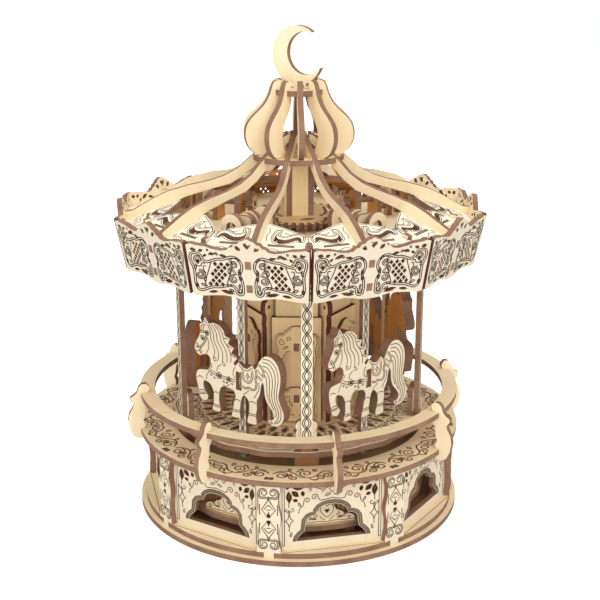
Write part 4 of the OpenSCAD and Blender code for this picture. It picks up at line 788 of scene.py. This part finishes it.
panel_side = [viola, beside(viola, -1.15), lattice_left, lattice_right, scroll, beside(scroll, 0.9)[8:-8], roundel,
              beside(roundel, -0.9)[:-8], rounded(28.6, 21.4, 2.1, 14), rounded(28.6, 21.4, 1.2, 10),
              smooth([(24.2, 18.8), (26, 19.2), (26.8, 17.4), (28.6, 17.2), (30.3, 18.6)], 4),
              smooth([(23.9, 17.2), (25.4, 17.4), (25.4, 15), (24.2, 13.2)], 3), petal(25.8, 5.8, 3.6, 1.3, 20),
              petal(29.8, 5.6, 3, 1.2, 80), petal(5.2, 15, 3.6, 1.2, 95), petal(11, 15.2, 3.4, 1.3, 95),
              curl(5.7, 3.4, 1.4, 60, 1.1), petal(5.6, 6.4, 2.6, 1, 100), petal(11.2, 6.6, 2.6, 1.1, -10),
              smooth([(4.8, 21.4), (5.6, 23), (8, 23.2), (11, 21.6)], 3), petal(24.9, 9.4, 3, 1, 100),
              rounded(22.4, 27.2, 0.5, 6), rounded(17.2, 25, 0.5, 6), petal(30, 16.2, 3, 1.1, 100),
              petal(4.9, 11, 2.8, 1.1, 80), petal(10.2, 3.6, 3, 1, 25)]
fascia_places = [facing(ROTOR_TURN + 18 + 36 * k, FASCIA_R + PLY / cos(radians(FASCIA_LEAN)), Z_FASCIA, FASCIA_LEAN)
                 for k in range(10)]
score("fascia_lines", "carousel", mirrored(panel_side), fascia_places, 0.6)

# %% Deck plates
DECK_TIP_RISE = 19.6
slope_lift = DECK_TIP_RISE + DECK_TIP_R * tan(radians(DECK_SLOPE))
deck_places = [lying(ROTOR_TURN + 18 + 36 * k, Z_MECH + slope_lift, DECK_SLOPE) for k in range(10)]
hook = smooth([(x, y + DECK_TIP_R) for x, y in (
    (8.4, 9.4), (9.6, 6.2), (9, 10.6), (11, 12.8), (15, 13.2), (18.6, 11.2), (21.2, 10), (23.4, 11.4), (24, 15),
    (22.4, 13.6), (20.6, 13.4), (17.2, 16), (12.2, 17.2), (8.6, 14.8))], 3, True)
deck_side = [beside(hook, 0.8), beside(hook, 1.8), [(6, 91), (21.6, 91)], [(6, 92.4), (21.6, 92.4)],
             smooth([(6, 95.8), (10, 94.6), (15, 96.6), (20, 95.4), (24, 97.4)], 4), curl(8.4, 98.4, 1.7, 90, 1.1),
             petal(13.6, 98.8, 5, 1.6, -8), petal(20.4, 98.8, 4.4, 1.5, 8), curl(26.4, 99.4, 1.5, 120, -1.1),
             smooth([(3.4, 73), (8, 74.6), (13, 76.6), (18, 78.8), (22.4, 81), (25.2, 82.8)], 3),
             smooth([(3.2, 76), (4.4, 79.6), (3.4, 83.6), (4.6, 87.8)], 4),
             smooth([(13, 79.4), (16, 81.4), (19.6, 79.8)], 3), petal(4.6, 94.6, 3, 1.3, 80)]
score("deck_plate_lines", "carousel", mirrored(deck_side), deck_places, 0.42)
score("deck_plate_bars", "carousel", mirrored([[(6.4, 91.7), (21.2, 91.7)]]), deck_places, 1.2, shaded_line)

# %% [markdown]
# ## Floor, light and camera
# The object stands on a plain white floor under soft light, as in a product studio. The
# camera looks slightly down from in front, with a long lens.

# %% Stage
floor_mesh = bpy.data.meshes.new("floor")
work = bmesh.new()
bmesh.ops.create_grid(work, x_segments=1, y_segments=1, size=3.0)
bmesh.ops.translate(work, verts=work.verts, vec=(0, 0, -0.0002))
work.to_mesh(floor_mesh)
work.free()
floor = bpy.data.objects.new("floor", floor_mesh)
bpy.context.collection.objects.link(floor)
paper, tree, shader, place = start_material("white_floor")
shader.inputs["Base Color"].default_value = (0.93, 0.93, 0.93, 1)
shader.inputs["Roughness"].default_value = 0.9
rays = add_node(tree, "ShaderNodeLightPath")
seen = add_node(tree, "ShaderNodeMath", {0: rays.outputs["Is Camera Ray"], 1: 0.5}, operation="MULTIPLY")
shader.inputs["Emission Color"].default_value = (1, 1, 1, 1)
tree.links.new(seen.outputs[0], shader.inputs["Emission Strength"])
floor_mesh.materials.append(paper)

# %% Lights
world = bpy.data.worlds.new("studio")
bpy.context.scene.world = world
world.use_nodes = True
tree = world.node_tree
tree.nodes.clear()
rays = add_node(tree, "ShaderNodeLightPath")
clear = add_node(tree, "ShaderNodeMath", {0: rays.outputs["Is Camera Ray"], 1: rays.outputs["Is Glossy Ray"]},
                 operation="MAXIMUM")
clear = add_node(tree, "ShaderNodeMath", {0: clear.outputs[0], 1: rays.outputs["Is Transmission Ray"]},
                 operation="MAXIMUM")
level = add_node(tree, "ShaderNodeMapRange", {0: clear.outputs[0], 3: 0.66, 4: 1.0})
sky = add_node(tree, "ShaderNodeBackground", {0: (1, 1, 1, 1), 1: level.outputs[0]})
add_node(tree, "ShaderNodeOutputWorld", {0: sky.outputs[0]})


def softbox(name, at, aim, size, power):
    """A square area light that faces its target."""
    data = bpy.data.lights.new(name, "AREA")
    data.shape, data.size, data.energy = "SQUARE", size, power
    lamp = bpy.data.objects.new(name, data)
    lamp.location = at
    lamp.rotation_euler = (Vector(aim) - Vector(at)).to_track_quat("-Z", "Y").to_euler()
    bpy.context.collection.objects.link(lamp)


softbox("key", (0.55, -1.0, 1.25), (0, 0, 0.15), 0.8, 8)
softbox("fill", (-1.1, -0.7, 0.6), (0, 0, 0.15), 1.0, 4)
softbox("front", (0.1, -1.5, 0.35), (0, 0, 0.1), 1.0, 6)
softbox("top", (0.0, 0.3, 1.6), (0, 0, 0.15), 1.0, 5)

# %% Camera
lens = bpy.data.cameras.new("camera")
lens.lens, lens.sensor_width, lens.shift_x = 72.26, 36.0, 0.00255
lens.clip_start, lens.clip_end = 0.05, 20.0
camera = bpy.data.objects.new("camera", lens)
camera.location = (0, -0.7273, 0.3558)
camera.rotation_euler = (radians(90 - 17.17), 0, 0)
bpy.context.collection.objects.link(camera)
bpy.context.scene.camera = camera
bpy.context.scene.view_settings.view_transform = "Standard"
